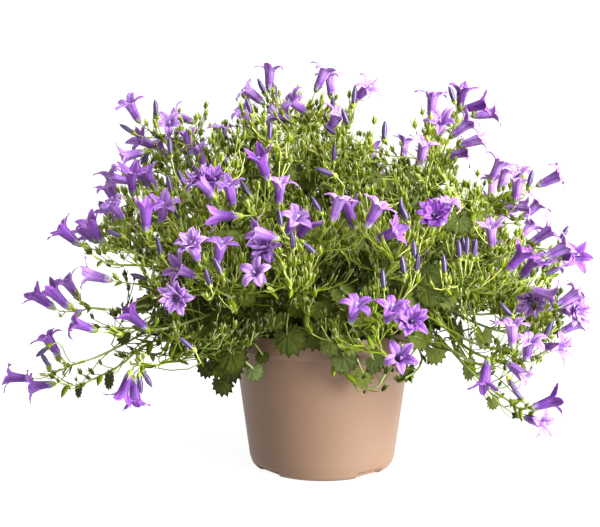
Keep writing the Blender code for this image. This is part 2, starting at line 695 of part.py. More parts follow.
def ring_leaf(rng, space, crowns, bearing, reaches, heights):
    """A leaf that no picture place is known for, at a bearing round the pot."""
    for attempt in range(LEAF_TRIES):
        turned = bearing + rng.uniform(-RING_BEARING, RING_BEARING)
        reach = rng.uniform(*reaches)
        height = rng.uniform(*heights) - reach * COLLAR_FALL
        outward = np.array((math.cos(turned), math.sin(turned), 0.0))
        level = np.array((-outward[1], outward[0], 0.0))
        normal = (outward * rng.uniform(*RING_OUT) + level * rng.uniform(-RING_TILT, RING_TILT)
                  + np.array((0, 0, RING_UP)))
        way = outward + level * rng.uniform(-RING_TURN, RING_TURN)
        way = unit(way - unit(normal) * way.dot(unit(normal)))
        leaf = Leaf(outward * reach + np.array((0, 0, height)), way, normal, rng.uniform(*RING_SIZE))
        if grow_leaf(space, crowns, leaf):
            return True
    return False


def grow_buds(rng, space, crowns):
    """Green buds on slender stalks, spread evenly along all stems."""
    heads = []
    tries = 0
    while len(heads) < BUDS and tries < BUDS * BUD_TRIES:
        tries += 1
        crown = crowns[rng.randrange(len(crowns))]
        stem = crown.stems[rng.randrange(len(crown.stems))]
        index = rng.randrange(2, len(stem) - 1)
        along = rng.random()
        root = stem[index] * (1 - along) + stem[index - 1] * along
        flow = unit(stem[index] - stem[index - 1])
        outward = unit((root - DOME_CENTRE) / DOME_REACH)
        turn = np.array([rng.gauss(0, BUD_SCATTER) for axis in range(3)])
        way = unit(flow * BUD_WAY[0] + outward * BUD_WAY[1] + np.array((0, 0, BUD_WAY[2])) + turn)
        neck = root + way * rng.uniform(*BUD_STALK)
        tip = neck + unit(way + np.array((0, 0, BUD_LIFT))) * BUD_LENGTH
        if heads and min(np.linalg.norm(tip - head) for head in heads) < BUD_SPACING:
            continue
        trial = [(root, neck, PEDICEL_RADIUS), (neck, tip, BUD_RADIUS)]
        if off_pot(trial) and space.room(trial[:1], crown.name) >= CLEARANCE \
                and space.room(trial[1:]) >= CLEARANCE:
            crown.buds.append((root, neck, tip))
            space.add(trial, crown.name)
            heads.append(tip)


def lay_out():
    """Places every spray, stem, leaf and bud, each clear of those before it."""
    rng = random.Random(SEED)
    space = Space()
    crowns = [Crown("crown_1", 0.0, 0.0)]
    for k in range(CROWNS_ROUND):
        bearing = 2 * math.pi * (k + 0.5) / CROWNS_ROUND - math.pi / 2
        crowns.append(Crown(f"crown_{k + 2}", CROWN_REACH * math.cos(bearing),
                            CROWN_REACH * math.sin(bearing)))
    for crown in crowns:
        space.add(crown.knob(), crown.name)
    sprays = [shown_spray(rng, space, name, *marks) for name, marks in FRONT_SPRAYS.items()]
    for index in range(FAR_SPRAYS):
        name = f"spray_{len(FRONT_SPRAYS) + index + 1:02d}"
        sprays.append(far_spray(rng, space, name, index))
    for spray in sprays:
        spray.join(space)
    for spray in sorted(sprays, key=lambda item: item.seat[2]):
        grow_stem(space, crowns, spray)
    for mark in SHOWN_LEAVES:
        shown_leaf(rng, space, crowns, *mark)
    for index in range(COLLAR_LEAVES):
        bearing = COLLAR_FROM + COLLAR_ARC * (index + 0.5) / COLLAR_LEAVES
        ring_leaf(rng, space, crowns, bearing, COLLAR_REACH, COLLAR_HEIGHT)
    for index in range(HEART_LEAVES):
        bearing = 2 * math.pi * index * GOLDEN
        ring_leaf(rng, space, crowns, bearing, HEART_REACH, HEART_HEIGHT)
    grow_buds(rng, space, crowns)
    return sprays, crowns


def material(name, colour, roughness):
    made = bpy.data.materials.new(name)
    made.use_nodes = True
    shader = made.node_tree.nodes["Principled BSDF"]
    shader.inputs["Base Color"].default_value = (*colour, 1.0)
    shader.inputs["Roughness"].default_value = roughness
    return made


def solid(name, points, faces):
    """A closed mesh object with its faces turned outward."""
    mesh = bpy.data.meshes.new(name)
    mesh.from_pydata([tuple(point) for point in points], [], faces)
    turned = bmesh.new()
    turned.from_mesh(mesh)
    bmesh.ops.recalc_face_normals(turned, faces=turned.faces)
    if turned.calc_volume(signed=True) < 0:
        bmesh.ops.reverse_faces(turned, faces=turned.faces)
    turned.to_mesh(mesh)
    turned.free()
    made = bpy.data.objects.new(name, mesh)
    bpy.context.scene.collection.objects.link(made)
    return made


def ring_frames(points):
    """Two directions across a line at each of its points, carried along without twist."""
    flow = [unit(points[min(i + 1, len(points) - 1)] - points[max(i - 1, 0)]) for i in range(len(points))]
    side = unit(np.cross(flow[0], TUBE_SKEW))
    frames = []
    for way in flow:
        side = unit(side - way * side.dot(way))
        frames.append((side, np.cross(way, side)))
    return frames


def tube_rings(points, radii, sides):
    """Vertices of a tube, ring by ring."""
    rings = []
    for point, radius, (side, other) in zip(points, radii, ring_frames(points)):
        turns = [2 * math.pi * k / sides for k in range(sides)]
        rings.append([point + (side * math.cos(a) + other * math.sin(a)) * radius for a in turns])
    return rings


def side_faces(first, second, sides):
    """Quads between two rings of vertices that start at the given places."""
    return [(first + k, first + (k + 1) % sides, second + (k + 1) % sides, second + k)
            for k in range(sides)]


def tube(name, points, radii, sides):
    """A closed tube along a line. A last radius of zero brings it to a point."""
    pointed = radii[-1] == 0.0
    rings = tube_rings(points, radii, sides)
    if pointed:
        rings = rings[:-1]
    vertices = [vertex for ring in rings for vertex in ring]
    faces = [tuple(range(sides - 1, -1, -1))]
    for k in range(len(rings) - 1):
        faces += side_faces(k * sides, (k + 1) * sides, sides)
    last = (len(rings) - 1) * sides
    if pointed:
        vertices.append(points[-1])
        faces += [(last + k, last + (k + 1) % sides, len(vertices) - 1) for k in range(sides)]
    else:
        faces.append(tuple(range(last, last + sides)))
    return solid(name, vertices, faces)


def bloom_solid(name, bloom, pedicel):
    """One bell with pointed lobes, in one loft with its pedicel."""
    size = bloom.size
    rings = tube_rings(list(pedicel), [PEDICEL_RADIUS] * (len(pedicel) - 1) + [TUBE_BASE_RADIUS], 3)
    vertices = [vertex for ring in rings for vertex in ring]
    faces = [(2, 1, 0)]
    for k in range(len(rings) - 1):
        faces += side_faces(3 * k, 3 * k + 3, 3)
    foot = 3 * (len(rings) - 1)
    step = 2 * math.pi / LOBES
    mouth = len(vertices)
    vertices += [bloom.around(step * (k + 0.5), MOUTH_RADIUS, 0.0) for k in range(LOBES)]
    root_ring = rings[-1]
    toward = vertices[mouth] - bloom.mouth
    first = max(range(3), key=lambda k: (root_ring[k] - bloom.root).dot(toward))
    nearest = [(first + k // 2) % 3 for k in range(LOBES)]
    for k in range(LOBES):
        after = (k + 1) % LOBES
        faces.append((foot + nearest[k], mouth + k, mouth + after))
        if nearest[after] != nearest[k]:
            faces.append((foot + nearest[k], mouth + after, foot + nearest[after]))
    tips = len(vertices)
    vertices += [bloom.around(step * k, STAR_RADIUS, LOBE_LIFT) for k in range(LOBES)]
    ribs = len(vertices)
    vertices += [bloom.around(step * k, MOUTH_RADIUS * RIB_SHARE, LOBE_THICKNESS) for k in range(LOBES)]
    throat = len(vertices)
    vertices.append(bloom.mouth - bloom.axis * THROAT_DEPTH * size)
    for k in range(LOBES):
        before, after = mouth + (k - 1) % LOBES, mouth + k
        faces += [(before, tips + k, after), (before, ribs + k, tips + k), (ribs + k, after, tips + k)]
        faces += [(before, throat, ribs + k), (ribs + k, throat, after)]
    return solid(name, vertices, faces)


def leaf_solid(name, leaf):
    """A toothed blade, thickest where its veins meet and sharp at its edge."""
    outline = leaf.outline()
    half = leaf.normal * LEAF_THICKNESS / 2
    vertices = outline + [leaf.base + half, leaf.base - half]
    count = len(outline)
    faces = [(k, (k + 1) % count, count) for k in range(count)]
    faces += [((k + 1) % count, k, count + 1) for k in range(count)]
    return solid(name, vertices, faces)


def fuse(pieces, name):
    """Joins overlapping solids into one closed body and drops what the joining leaves loose."""
    trunk = pieces[0]
    trunk.name = name
    if len(pieces) > 1:
        group = bpy.data.collections.new("branches")
        for piece in pieces[1:]:
            group.objects.link(piece)
        union = trunk.modifiers.new("union", "BOOLEAN")
        union.operation = "UNION"
        union.operand_type = "COLLECTION"
        union.collection = group
        union.solver = "MANIFOLD"
        bpy.context.view_layer.update()
        joined = bpy.data.meshes.new_from_object(
            trunk.evaluated_get(bpy.context.evaluated_depsgraph_get()))
        trunk.modifiers.clear()
        trunk.data = joined
        for piece in pieces[1:]:
            bpy.data.objects.remove(piece)
        bpy.data.collections.remove(group)
    keep_main_body(trunk)
    return trunk


def keep_main_body(piece):
    """Keeps the largest closed shell: inner hollows are filled and scraps dropped."""
    work = bmesh.new()
    work.from_mesh(piece.data)
    bmesh.ops.triangulate(work, faces=work.faces)
    left = set(work.verts)
    shells = []
    while left:
        front = [left.pop()]
        shell = set(front)
        while front:
            vertex = front.pop()
            for edge in vertex.link_edges:
                other = edge.other_vert(vertex)
                if other in left:
                    left.discard(other)
                    shell.add(other)
                    front.append(other)
        shells.append(shell)
    largest = max(shells, key=lambda shell: spread_of(shell))
    loose = [vertex for shell in shells if shell is not largest for vertex in shell]
    bmesh.ops.delete(work, geom=loose, context="VERTS")
    work.to_mesh(piece.data)
    work.free()


def spread_of(shell):
    """The size of the box round a group of vertices."""
    low = [min(vertex.co[axis] for vertex in shell) for axis in range(3)]
    high = [max(vertex.co[axis] for vertex in shell) for axis in range(3)]
    return math.dist(low, high)


def spray_solid(spray, look):
    down = unit(spray.seat - spray.top)
    top = spray.top - down * STALK_SINK
    pieces = [tube("stalk", [top, spray.seat], [STALK_RADIUS] * 2, STALK_SIDES)]
    for k, bloom in enumerate(spray.blooms):
        pieces.append(bloom_solid("bloom", bloom, spray.pedicels[k]))
    for k, (tip, root) in enumerate(spray.closed):
        line = tip - root
        points = list(spray.pedicels[len(spray.blooms) + k]) + [root + line * CLOSED_WIDEST, tip]
        radii = [PEDICEL_RADIUS] * (len(points) - 2) + [CLOSED_RADIUS, 0.0]
        pieces.append(tube("closed", points, radii, 3))
    made = fuse(pieces, spray.name)
    made.data.materials.clear()
    made.data.materials.append(look)
    return made


def crown_solid(crown, look):
    """The knob in its hole, with the stems, leaves and buds that grow from it."""
    points = []
    for height, share in CROWN_PROFILE:
        above = CROWN_DEPTH * height if height < 0.0 else CROWN_RISE * height
        points.append(crown.top + np.array((0.0, 0.0, above - CROWN_RISE)))
    radii = [CROWN_RADIUS * share for height, share in CROWN_PROFILE]
    pieces = [tube("knob", points, radii, CROWN_SIDES)]
    for stem in crown.stems:
        pieces.append(tube("stem", list(stem), [STEM_RADIUS] * len(stem), 3))
    for leaf in crown.leaves:
        petiole = list(leaf.petiole)
        pieces.append(tube("petiole", petiole, [PETIOLE_RADIUS] * len(petiole), 3))
        pieces.append(leaf_solid("blade", leaf))
    for root, neck, tip in crown.buds:
        way = unit(neck - root)
        points = [root - way * STEM_RADIUS * BUD_SINK, neck, neck + (tip - neck) * BUD_SHOULDER, tip]
        pieces.append(tube("bud", points, [PEDICEL_RADIUS, PEDICEL_RADIUS, BUD_RADIUS, 0.0], 3))
    made = fuse(pieces, crown.name)
    made.data.materials.clear()
    made.data.materials.append(look)
    return made


def turned(name, profile, sides):
    """A solid turned about the Z axis from a profile that starts and ends on it."""
    vertices = [(0.0, 0.0, profile[0][1])]
    for reach, height in profile[1:-1]:
        for k in range(sides):
            angle = 2 * math.pi * k / sides
            vertices.append((reach * math.cos(angle), reach * math.sin(angle), height))
    vertices.append((0.0, 0.0, profile[-1][1]))
    faces = [(0, 1 + (k + 1) % sides, 1 + k) for k in range(sides)]
    rings = len(profile) - 2
    for ring in range(rings - 1):
        faces += side_faces(1 + ring * sides, 1 + (ring + 1) * sides, sides)
    last = 1 + (rings - 1) * sides
    faces += [(last + k, last + (k + 1) % sides, len(vertices) - 1) for k in range(sides)]
    return solid(name, vertices, faces)


def cut(piece, cutter):
    """Takes one cutter away from a piece."""
    hollow = piece.modifiers.new("cut", "BOOLEAN")
    hollow.operation = "DIFFERENCE"
    hollow.object = cutter
    cutter.hide_render = True
    cutter.display_type = "WIRE"
    bpy.context.view_layer.update()
    result = bpy.data.meshes.new_from_object(
        piece.evaluated_get(bpy.context.evaluated_depsgraph_get()))
    piece.modifiers.clear()
    piece.data = result
    bpy.data.objects.remove(cutter)


def wall_reach(height):
    """The outer radius of the pot's wall at a height."""
    return WALL_BASE_RADIUS + (WALL_TOP_RADIUS - WALL_BASE_RADIUS) * height / RIM_LOWER_EDGE


def build_pot(look):
    corner = [(wall_reach(0.0) - FOOT_CORNER * (1 - math.sin(a)), FOOT_CORNER * (1 - math.cos(a)))
              for a in (0.0, math.radians(45), math.radians(90))]
    inside = RIM_RADIUS - RIM_THICKNESS
    profile = [(0.0, 0.0)] + corner + [
        (WALL_TOP_RADIUS, RIM_LOWER_EDGE),
        (RIM_RADIUS - RIM_EDGE[0], RIM_LOWER_EDGE),
        (RIM_RADIUS, RIM_LOWER_EDGE + RIM_EDGE[1]),
        (RIM_RADIUS, RIM_TOP - RIM_EDGE[1]),
        (RIM_RADIUS - RIM_EDGE[0], RIM_TOP),
        (inside, RIM_TOP),
        (inside - RIM_INNER_TAPER, RIM_LOWER_EDGE + WALL_THICKNESS),
        (WALL_TOP_RADIUS - WALL_THICKNESS, RIM_LOWER_EDGE),
        (wall_reach(FLOOR_THICKNESS) - WALL_THICKNESS, FLOOR_THICKNESS),
        (0.0, FLOOR_THICKNESS),
    ]
    pot = turned("pot", profile, POT_SIDES)
    for k in range(NOTCHES):
        bearing = NOTCH_START + 2 * math.pi * k / NOTCHES
        reach = wall_reach(0.0) - NOTCH_DEPTH + NOTCH_WIDTH / 2
        cut(pot, block("notch", reach, bearing, NOTCH_WIDTH, NOTCH_HEIGHT))
    for k in range(DRAIN_HOLES):
        bearing = 2 * math.pi * (k + 0.5) / DRAIN_HOLES
        centre = np.array((math.cos(bearing), math.sin(bearing), 0.0)) * DRAIN_HOLE_REACH
        ends = [centre - np.array((0.0, 0.0, CUTTER_MARGIN)),
                centre + np.array((0.0, 0.0, FLOOR_THICKNESS + CUTTER_MARGIN))]
        cut(pot, tube("drain_hole", ends, [DRAIN_HOLE_RADIUS] * 2, DRAIN_HOLE_SIDES))
    pot.data.materials.append(look)
    return pot


def block(name, reach, bearing, width, height):
    """A square block that stands at a distance from the axis, from below the ground up."""
    outward = np.array((math.cos(bearing), math.sin(bearing), 0.0))
    side = np.array((-outward[1], outward[0], 0.0))
    vertices = []
    for z, shrink in ((-CUTTER_MARGIN, 1.0), (height, NOTCH_TAPER)):
        for a, b in ((-1, -1), (1, -1), (1, 1), (-1, 1)):
            vertices.append(outward * (reach + a * width / 2) + side * b * shrink * width / 2
                            + np.array((0, 0, z)))
    faces = [(3, 2, 1, 0), (4, 5, 6, 7)] + side_faces(0, 4, 4)
    return solid(name, vertices, faces)


def build_soil(crowns, look):
    inside = WALL_TOP_RADIUS - WALL_THICKNESS - TOUCH_GAP * 2
    floor = FLOOR_THICKNESS + TOUCH_GAP
    bottom = wall_reach(FLOOR_THICKNESS) - WALL_THICKNESS - TOUCH_GAP * 2
    shoulder = (inside * SOIL_SHOULDER[0], SOIL_TOP + SOIL_CROWN * SOIL_SHOULDER[1])
    profile = [(0.0, floor), (bottom, floor), (inside, RIM_LOWER_EDGE - LEDGE_GAP),
               (inside, SOIL_TOP - SOIL_EDGE_DROP), shoulder, (0.0, SOIL_TOP + SOIL_CROWN)]
    soil = turned("soil", profile, SOIL_SIDES)
    for crown in crowns:
        foot = crown.top - np.array((0, 0, CROWN_RISE + CROWN_DEPTH + TOUCH_GAP))
        hole_radius = (CROWN_RADIUS + TOUCH_GAP) / math.cos(math.pi / HOLE_SIDES)
        ends = [foot, crown.top + np.array((0.0, 0.0, CUTTER_MARGIN * 2))]
        cut(soil, tube("crown_hole", ends, [hole_radius] * 2, HOLE_SIDES))
    soil.data.materials.append(look)
    return soil


def main():
    for old in list(bpy.data.objects):
        bpy.data.objects.remove(old)
    violet = material("bloom_violet", (0.36, 0.16, 0.72), 0.55)
    green = material("leaf_green", (0.16, 0.30, 0.05), 0.60)
    tan = material("pot_tan", (0.47, 0.29, 0.20), 0.50)
    brown = material("soil_brown", (0.06, 0.04, 0.03), 0.95)
    sprays, crowns = lay_out()
    build_pot(tan)
    build_soil(crowns, brown)
    for crown in crowns:
        crown_solid(crown, green)
    for spray in sprays:
        spray_solid(spray, violet)


main()
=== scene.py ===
"""A potted campanula in bloom: fine petals, leaves, stems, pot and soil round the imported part."""

import json
import math
import random

import bmesh
import bpy
import numpy as np
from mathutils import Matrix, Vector

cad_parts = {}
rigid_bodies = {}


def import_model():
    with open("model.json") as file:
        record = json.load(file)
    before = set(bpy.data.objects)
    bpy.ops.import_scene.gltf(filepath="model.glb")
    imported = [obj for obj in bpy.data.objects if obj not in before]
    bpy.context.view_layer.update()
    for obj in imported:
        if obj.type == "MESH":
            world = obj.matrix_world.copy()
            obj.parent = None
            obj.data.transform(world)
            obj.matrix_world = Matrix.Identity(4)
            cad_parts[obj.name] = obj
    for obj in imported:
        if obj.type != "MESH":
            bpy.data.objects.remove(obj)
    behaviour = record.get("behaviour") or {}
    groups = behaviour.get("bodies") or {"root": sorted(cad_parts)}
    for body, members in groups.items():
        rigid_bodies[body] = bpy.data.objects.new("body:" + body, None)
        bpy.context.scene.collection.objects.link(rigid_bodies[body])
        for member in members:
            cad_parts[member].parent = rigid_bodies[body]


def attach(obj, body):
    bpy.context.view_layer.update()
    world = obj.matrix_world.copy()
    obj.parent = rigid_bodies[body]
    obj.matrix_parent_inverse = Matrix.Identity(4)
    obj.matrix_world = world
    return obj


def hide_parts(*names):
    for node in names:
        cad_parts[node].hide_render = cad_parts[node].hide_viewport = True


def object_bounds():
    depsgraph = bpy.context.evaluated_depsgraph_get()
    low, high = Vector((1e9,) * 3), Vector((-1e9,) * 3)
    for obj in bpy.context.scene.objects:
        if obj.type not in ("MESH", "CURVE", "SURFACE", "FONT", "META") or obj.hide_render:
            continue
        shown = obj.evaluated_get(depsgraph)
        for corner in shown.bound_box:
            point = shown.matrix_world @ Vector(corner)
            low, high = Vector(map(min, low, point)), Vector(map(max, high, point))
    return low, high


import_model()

# Seeds, directions and small numbers
SEED = 41
FINE_SEED = 17
TOUCH_GAP = 0.0003
TINY = 1e-14
UP = np.array((0.0, 0.0, 1.0))
RIGHT = np.array((1.0, 0.0, 0.0))
GOLDEN = 0.6180
ANY_TURN = 6.3

# Pot
RIM_RADIUS = 0.0650
RIM_TOP = 0.0970
RIM_LOWER_EDGE = 0.0840
RIM_THICKNESS = 0.0020
RIM_OVERHANG = 0.0060
RIM_ROUND = 0.0009
RIM_HOLLOW = 0.00015
RIM_LIP = 0.0040
COLLAR_STEP = 0.0004
WALL_TOP_RADIUS = 0.0598
WALL_BASE_RADIUS = 0.0486
WALL_THICKNESS = 0.0014
WALL_HEIGHTS = (0.0060, 0.0825)
WALL_ROWS = 14
FOOT_CORNER = 0.0042
FOOT_RINGS = (0.0, 0.020, 0.036)
FLOOR_THICKNESS = 0.0060
NOTCHES = 4
NOTCH_WIDTH = 0.0220
NOTCH_DEPTH = 0.0060
NOTCH_HEIGHT = 0.0040
NOTCH_START = math.radians(-50.0)
NOTCH_EDGE = math.radians(0.2)
EDGE_GAP = 0.00008
POT_COLUMNS = 180
DRAIN_HOLES = 4
DRAIN_HOLE_RADIUS = 0.0035
DRAIN_HOLE_REACH = 0.0230
DRAIN_HOLE_COLUMNS = 32
CUTTER_DEPTH = 0.0200
WELD = 1e-6

# Soil and the crowns that stand in it
SOIL_TOP = 0.0880
SOIL_CROWN = 0.0025
SOIL_DROP = 0.0010
SOIL_HUB = 0.0001
SOIL_COLUMNS = 120
SOIL_ROWS = 44
SOIL_BUMP_REACH = 0.06
CROWNS_ROUND = 7
CROWN_REACH = 0.0350
CROWN_RADIUS = 0.0062
CROWN_DEPTH = 0.0140
CROWN_RISE = 0.0070
ROOT_SPREAD = 0.55
ROOT_FULL_REACH = 0.05
ROOT_SINK = 0.20
KNOB_CLEAR = (0.6, 0.8)
KNOB_HEIGHTS = np.array((-CROWN_DEPTH - CROWN_RISE, -CROWN_RISE, -CROWN_RISE * 0.5, -CROWN_RISE * 0.2, 0.0))
KNOB_RADII = np.array((0.8, 1.0, 0.95, 0.8, 0.1)) * CROWN_RADIUS

# Crumbs and clods of the soil: how many, their widths, and their heights as a share of the width
SOIL_BUMPS = ((60, (0.0020, 0.0060), (-0.3, 0.5)), (300, (0.0006, 0.0018), (0.2, 1.0)))

# Blooms
TUBE_LENGTH = 0.0130
MOUTH_RADIUS = 0.0042
STAR_RADIUS = 0.0104
LOBES = 5
LOBE_LIFT = 0.0012
BELL_CLEAR = (0.0026, 0.0019)
BELL_SKEW = (0.31, 0.17, 0.93)
PEDICEL_RADIUS = 0.0006
CLOSED_LENGTH = 0.0120
CLOSED_RADIUS = 0.0014
STALK_RADIUS = 0.0009
STALK_LENGTH = 0.0080
STALK_DROP = 0.0150
STALK_SKEW = (0.1, 0.2, 1.0)
PEDICEL_SINK = 0.0005
PEDICEL_SPREAD = 0.6
PEDICEL_BENDS = (0.3, 0.35)
HOME_SHARE = 0.35
HOME_HEIGHT = 0.10
INNER_WEIGHT = 0.3
SPRAY_JITTER = 0.008
BLOOM_JITTER = 0.006
PEDICEL_POINTS = 3
FAR_PEDICEL_POINTS = 2

STALK_TRIES = [(drop, across, lift) for drop in (1.0, 1.4, 0.7, 1.9, 2.5)
               for across in (0.0, 0.004, -0.004, 0.009, -0.009, 0.014, -0.014)
               for lift in (0.0, 0.005, -0.005, 0.010, -0.010)]
DEPTH_SHIFTS = (0.0, 0.004, -0.004, 0.008, -0.008, 0.013, -0.013, 0.019, -0.019, 0.026, -0.026)
SIDE_SHIFTS = (0.0, 0.002, -0.002, 0.004, -0.004)
CLOSED_SHIFTS = (0.0, 0.005, -0.005, 0.010, -0.010, 0.016, -0.016)

# Stems, leaves and green buds
STEM_RADIUS = 0.0011
STEM_POINTS = 5
STEM_LIFTS = (0.0, 0.12, 0.24, -0.10, 0.36)
STEM_BENDS = (0.0, 0.06, -0.06, 0.12, -0.12, 0.20, -0.20, 0.28, -0.28)
STEM_RISE = 0.30
STEM_OUT = 0.12
STEM_END = 0.33
STEM_END_BEND = 0.6
RIM_CLEAR = 0.018
RIM_CLEAR_FROM = 0.08
CLEARANCE = 0.0004
PATH_SAMPLES = 15
OWN_WEIGHT = 0.2
CROWDED = 0.006
CROWNS_TRIED = 5
BUD_RADIUS = 0.0011
BUD_LENGTH = 0.0055
BUD_STALK = (0.010, 0.024)
BUDS = 62
BUD_SPACING = 0.0150
BUD_TRIES = 60
BUD_SCATTER = 0.45
BUD_WAY = (0.6, 0.6, 0.5)
BUD_LIFT = 0.4
LEAF_THICKNESS = 0.0013
LEAF_TEETH = 5
LEAF_SWEEP = math.radians(150)
LEAF_NOTCH = 0.86
LEAF_WAVE = 0.06
LEAF_FORM = (0.78, 0.30)
LEAF_WAVE_TURNS = (1.5, 900)
LEAF_HEEL = 0.10
LEAF_TRIES = 30
LEAF_SET = 0.4
LEAF_JITTER = (0.4, 0.3, 0.0006)
LEAF_OUT = (0.4, 1.0)
LEAF_UP = 0.8
LEAF_TILT = 0.5
LEAF_REACH = 0.5
LEAF_TURN = 0.9
LEAF_DROOP = (0.1, 0.8)
HANG_FROM_V = 315.0
HANG_RANGE_V = 35.0
HANG_UPRIGHT = 0.7
HANG_FACING = 0.9
RING_BEARING = 0.15
RING_OUT = (0.1, 0.8)
RING_UP = 0.9
RING_TILT = 0.4
RING_TURN = 0.6
RING_SIZE = (0.011, 0.015)
PETIOLE_WAY = (0.8, 0.6)
PETIOLE_TRIES = 9
CROWN_PETIOLE_COST = 0.02
PETIOLE_RADIUS = 0.0006
PETIOLE_POINTS = 4
SHORT_PETIOLE_POINTS = 3
SHORT_PETIOLE = (0.008, 0.030)

# Dome that the blooms lie on
DOME_CENTRE = np.array((0.0, 0.0, 0.105))
DOME_REACH = np.array((0.188, 0.160, 0.160))
DOME_FILL = 0.92
INNER_SHARE = 0.85
INNER_FROM_V = 200.0
INNER_RANGE_V = 70.0

# View that the places of blooms and leaves are read from, as picture coordinates in pixels
EYE = np.array((-0.0151, -0.8255, 0.2589))
PITCH = math.radians(8.447)
FOCAL = 1247.0
PICTURE_CENTRE = (300.0, 263.5)

# Sprays on the near side. A bloom is its mouth, the root of its tube and how far it faces the view.
# A closed corolla is its tip and its root.
FRONT_SPRAYS = {
    "spray_01": ([(270, 70, 269, 89, 0.0), (247, 90, 262, 102, 0.1), (275, 115, 288, 119, -0.2)],
                 [(261, 85, 266, 95)]),
    "spray_02": ([(242, 111, 253, 125, 0.3), (222, 129, 222, 143, 0.1)], [(247, 128, 250, 136)]),
    "spray_03": ([(292, 101, 303, 110, 0.4), (325, 71, 317, 88, 0.0), (330, 77, 331, 93, 0.1)],
                 [(270, 129, 267, 143)]),
    "spray_04": ([(368, 87, 360, 95, 0.6), (338, 115, 333, 123, 0.3)],
                 [(355, 93, 355, 105), (328, 128, 339, 136)]),
    "spray_05": ([(433, 96, 431, 113, 0.0), (441, 121, 441, 129, 0.8), (424, 146, 422, 154, 0.2)],
                 [(418, 160, 417, 178)]),
    "spray_06": ([(462, 92, 459, 109, 0.2), (481, 105, 473, 107, 0.2), (493, 113, 481, 115, 0.2)],
                 [(451, 92, 455, 103)]),
    "spray_07": ([(467, 124, 452, 136, 0.0), (480, 139, 465, 144, 0.3), (463, 152, 448, 156, 0.1)], []),
    "spray_08": ([(500, 163, 493, 176, 0.1), (519, 171, 518, 178, 0.3), (518, 182, 516, 198, 0.0)], []),
    "spray_09": ([(558, 176, 541, 184, 0.2), (525, 206, 506, 206, 0.2)], []),
    "spray_10": ([(491, 228, 492, 246, 0.3)], [(464, 245, 466, 256), (459, 248, 459, 264)]),
    "spray_11": ([(549, 231, 531, 243, 0.2), (565, 247, 541, 259, 0.1), (576, 256, 566, 257, 0.8)], []),
    "spray_12": ([(521, 255, 509, 269, 0.1), (534, 262, 527, 270, 0.3)], [(475, 247, 477, 259)]),
    "spray_13": ([(550, 295, 536, 291, 0.2), (530, 301, 530, 292, 0.9)], [(502, 305, 513, 317)]),
    "spray_14": ([(576, 311, 557, 310, 0.8), (575, 294, 566, 300, 0.0), (561, 348, 553, 347, 0.7)],
                 [(549, 328, 546, 335)]),
    "spray_15": ([(512, 326, 513, 349, 0.1), (530, 341, 528, 350, 0.4)], []),
    "spray_16": ([(524, 376, 519, 372, 0.5), (485, 381, 486, 372, 0.4)], [(514, 389, 523, 401)]),
    "spray_17": ([(552, 401, 532, 408, -0.1), (542, 423, 529, 419, 0.7)], []),
    "spray_18": ([(130, 105, 137, 118, 0.4)], [(119, 124, 135, 134), (156, 106, 155, 123)]),
    "spray_19": ([(141, 140, 156, 148, 0.6), (126, 156, 135, 154, 0.2)], [(145, 158, 150, 150)]),
    "spray_20": ([(169, 123, 169, 131, 0.8), (176, 115, 195, 123, -0.1)], [(157, 136, 165, 141)]),
    "spray_21": ([(188, 136, 191, 156, 0.0), (198, 151, 203, 163, 0.2)], []),
    "spray_22": ([(113, 178, 123, 180, 0.3), (131, 175, 132, 186, 0.3), (147, 174, 152, 183, 0.2)], []),
    "spray_23": ([(111, 204, 125, 221, 0.3), (91, 225, 101, 241, 0.4), (63, 231, 81, 246, 0.0)],
                 [(104, 230, 124, 237)]),
    "spray_24": ([(164, 205, 160, 228, 0.5), (146, 210, 146, 222, 0.0)],
                 [(167, 174, 172, 194), (159, 245, 161, 257)]),
    "spray_25": ([(211, 180, 209, 199, 0.4), (229, 186, 233, 204, 0.2), (200, 181, 208, 190, 0.2)],
                 [(178, 170, 186, 188)]),
    "spray_26": ([(261, 160, 267, 177, 0.3), (280, 184, 278, 205, 0.2), (219, 216, 237, 216, -0.2)],
                 [(240, 179, 251, 198)]),
    "spray_27": ([(257, 232, 275, 238, 0.2), (265, 248, 270, 256, 0.7), (255, 272, 260, 277, 0.8)], []),
    "spray_28": ([(296, 218, 288, 231, 0.6), (306, 225, 296, 239, 0.0)],
                 [(314, 252, 301, 241), (316, 204, 322, 214)]),
    "spray_29": ([(339, 201, 332, 222, 0.0), (349, 208, 355, 231, 0.0)], [(321, 170, 336, 176)]),
    "spray_30": ([(378, 207, 369, 223, 0.2), (394, 232, 376, 240, 0.5)], [(402, 207, 409, 223)]),
    "spray_31": ([(434, 216, 434, 227, 0.9), (447, 203, 444, 215, 0.2)], [(403, 264, 403, 280)]),
    "spray_32": ([(192, 245, 199, 262, 0.6), (221, 244, 217, 264, 0.2)], []),
    "spray_33": ([(179, 269, 191, 274, 0.5), (177, 297, 186, 292, 0.9)], [(219, 268, 223, 276)]),
    "spray_34": ([(89, 275, 110, 280, 0.1)], [(127, 273, 149, 280)]),
    "spray_35": ([(67, 282, 77, 296, 0.1), (54, 293, 64, 303, 0.1), (37, 296, 51, 306, 0.2)], []),
    "spray_36": ([(75, 323, 89, 328, 0.3), (132, 316, 143, 326, 0.0)], []),
    "spray_37": ([(48, 339, 58, 354, 0.2), (11, 377, 32, 379, 0.1), (34, 386, 53, 384, 0.0)],
                 [(41, 353, 50, 368)]),
    "spray_38": ([(123, 393, 128, 378, 0.1), (135, 399, 134, 386, 0.2)], [(152, 387, 142, 370)]),
    "spray_39": ([(356, 305, 351, 322, 0.5), (392, 308, 387, 321, 0.7), (411, 322, 409, 332, 0.9)],
                 [(383, 276, 384, 290)]),
    "spray_40": ([(400, 357, 397, 363, 0.97)], []),
}

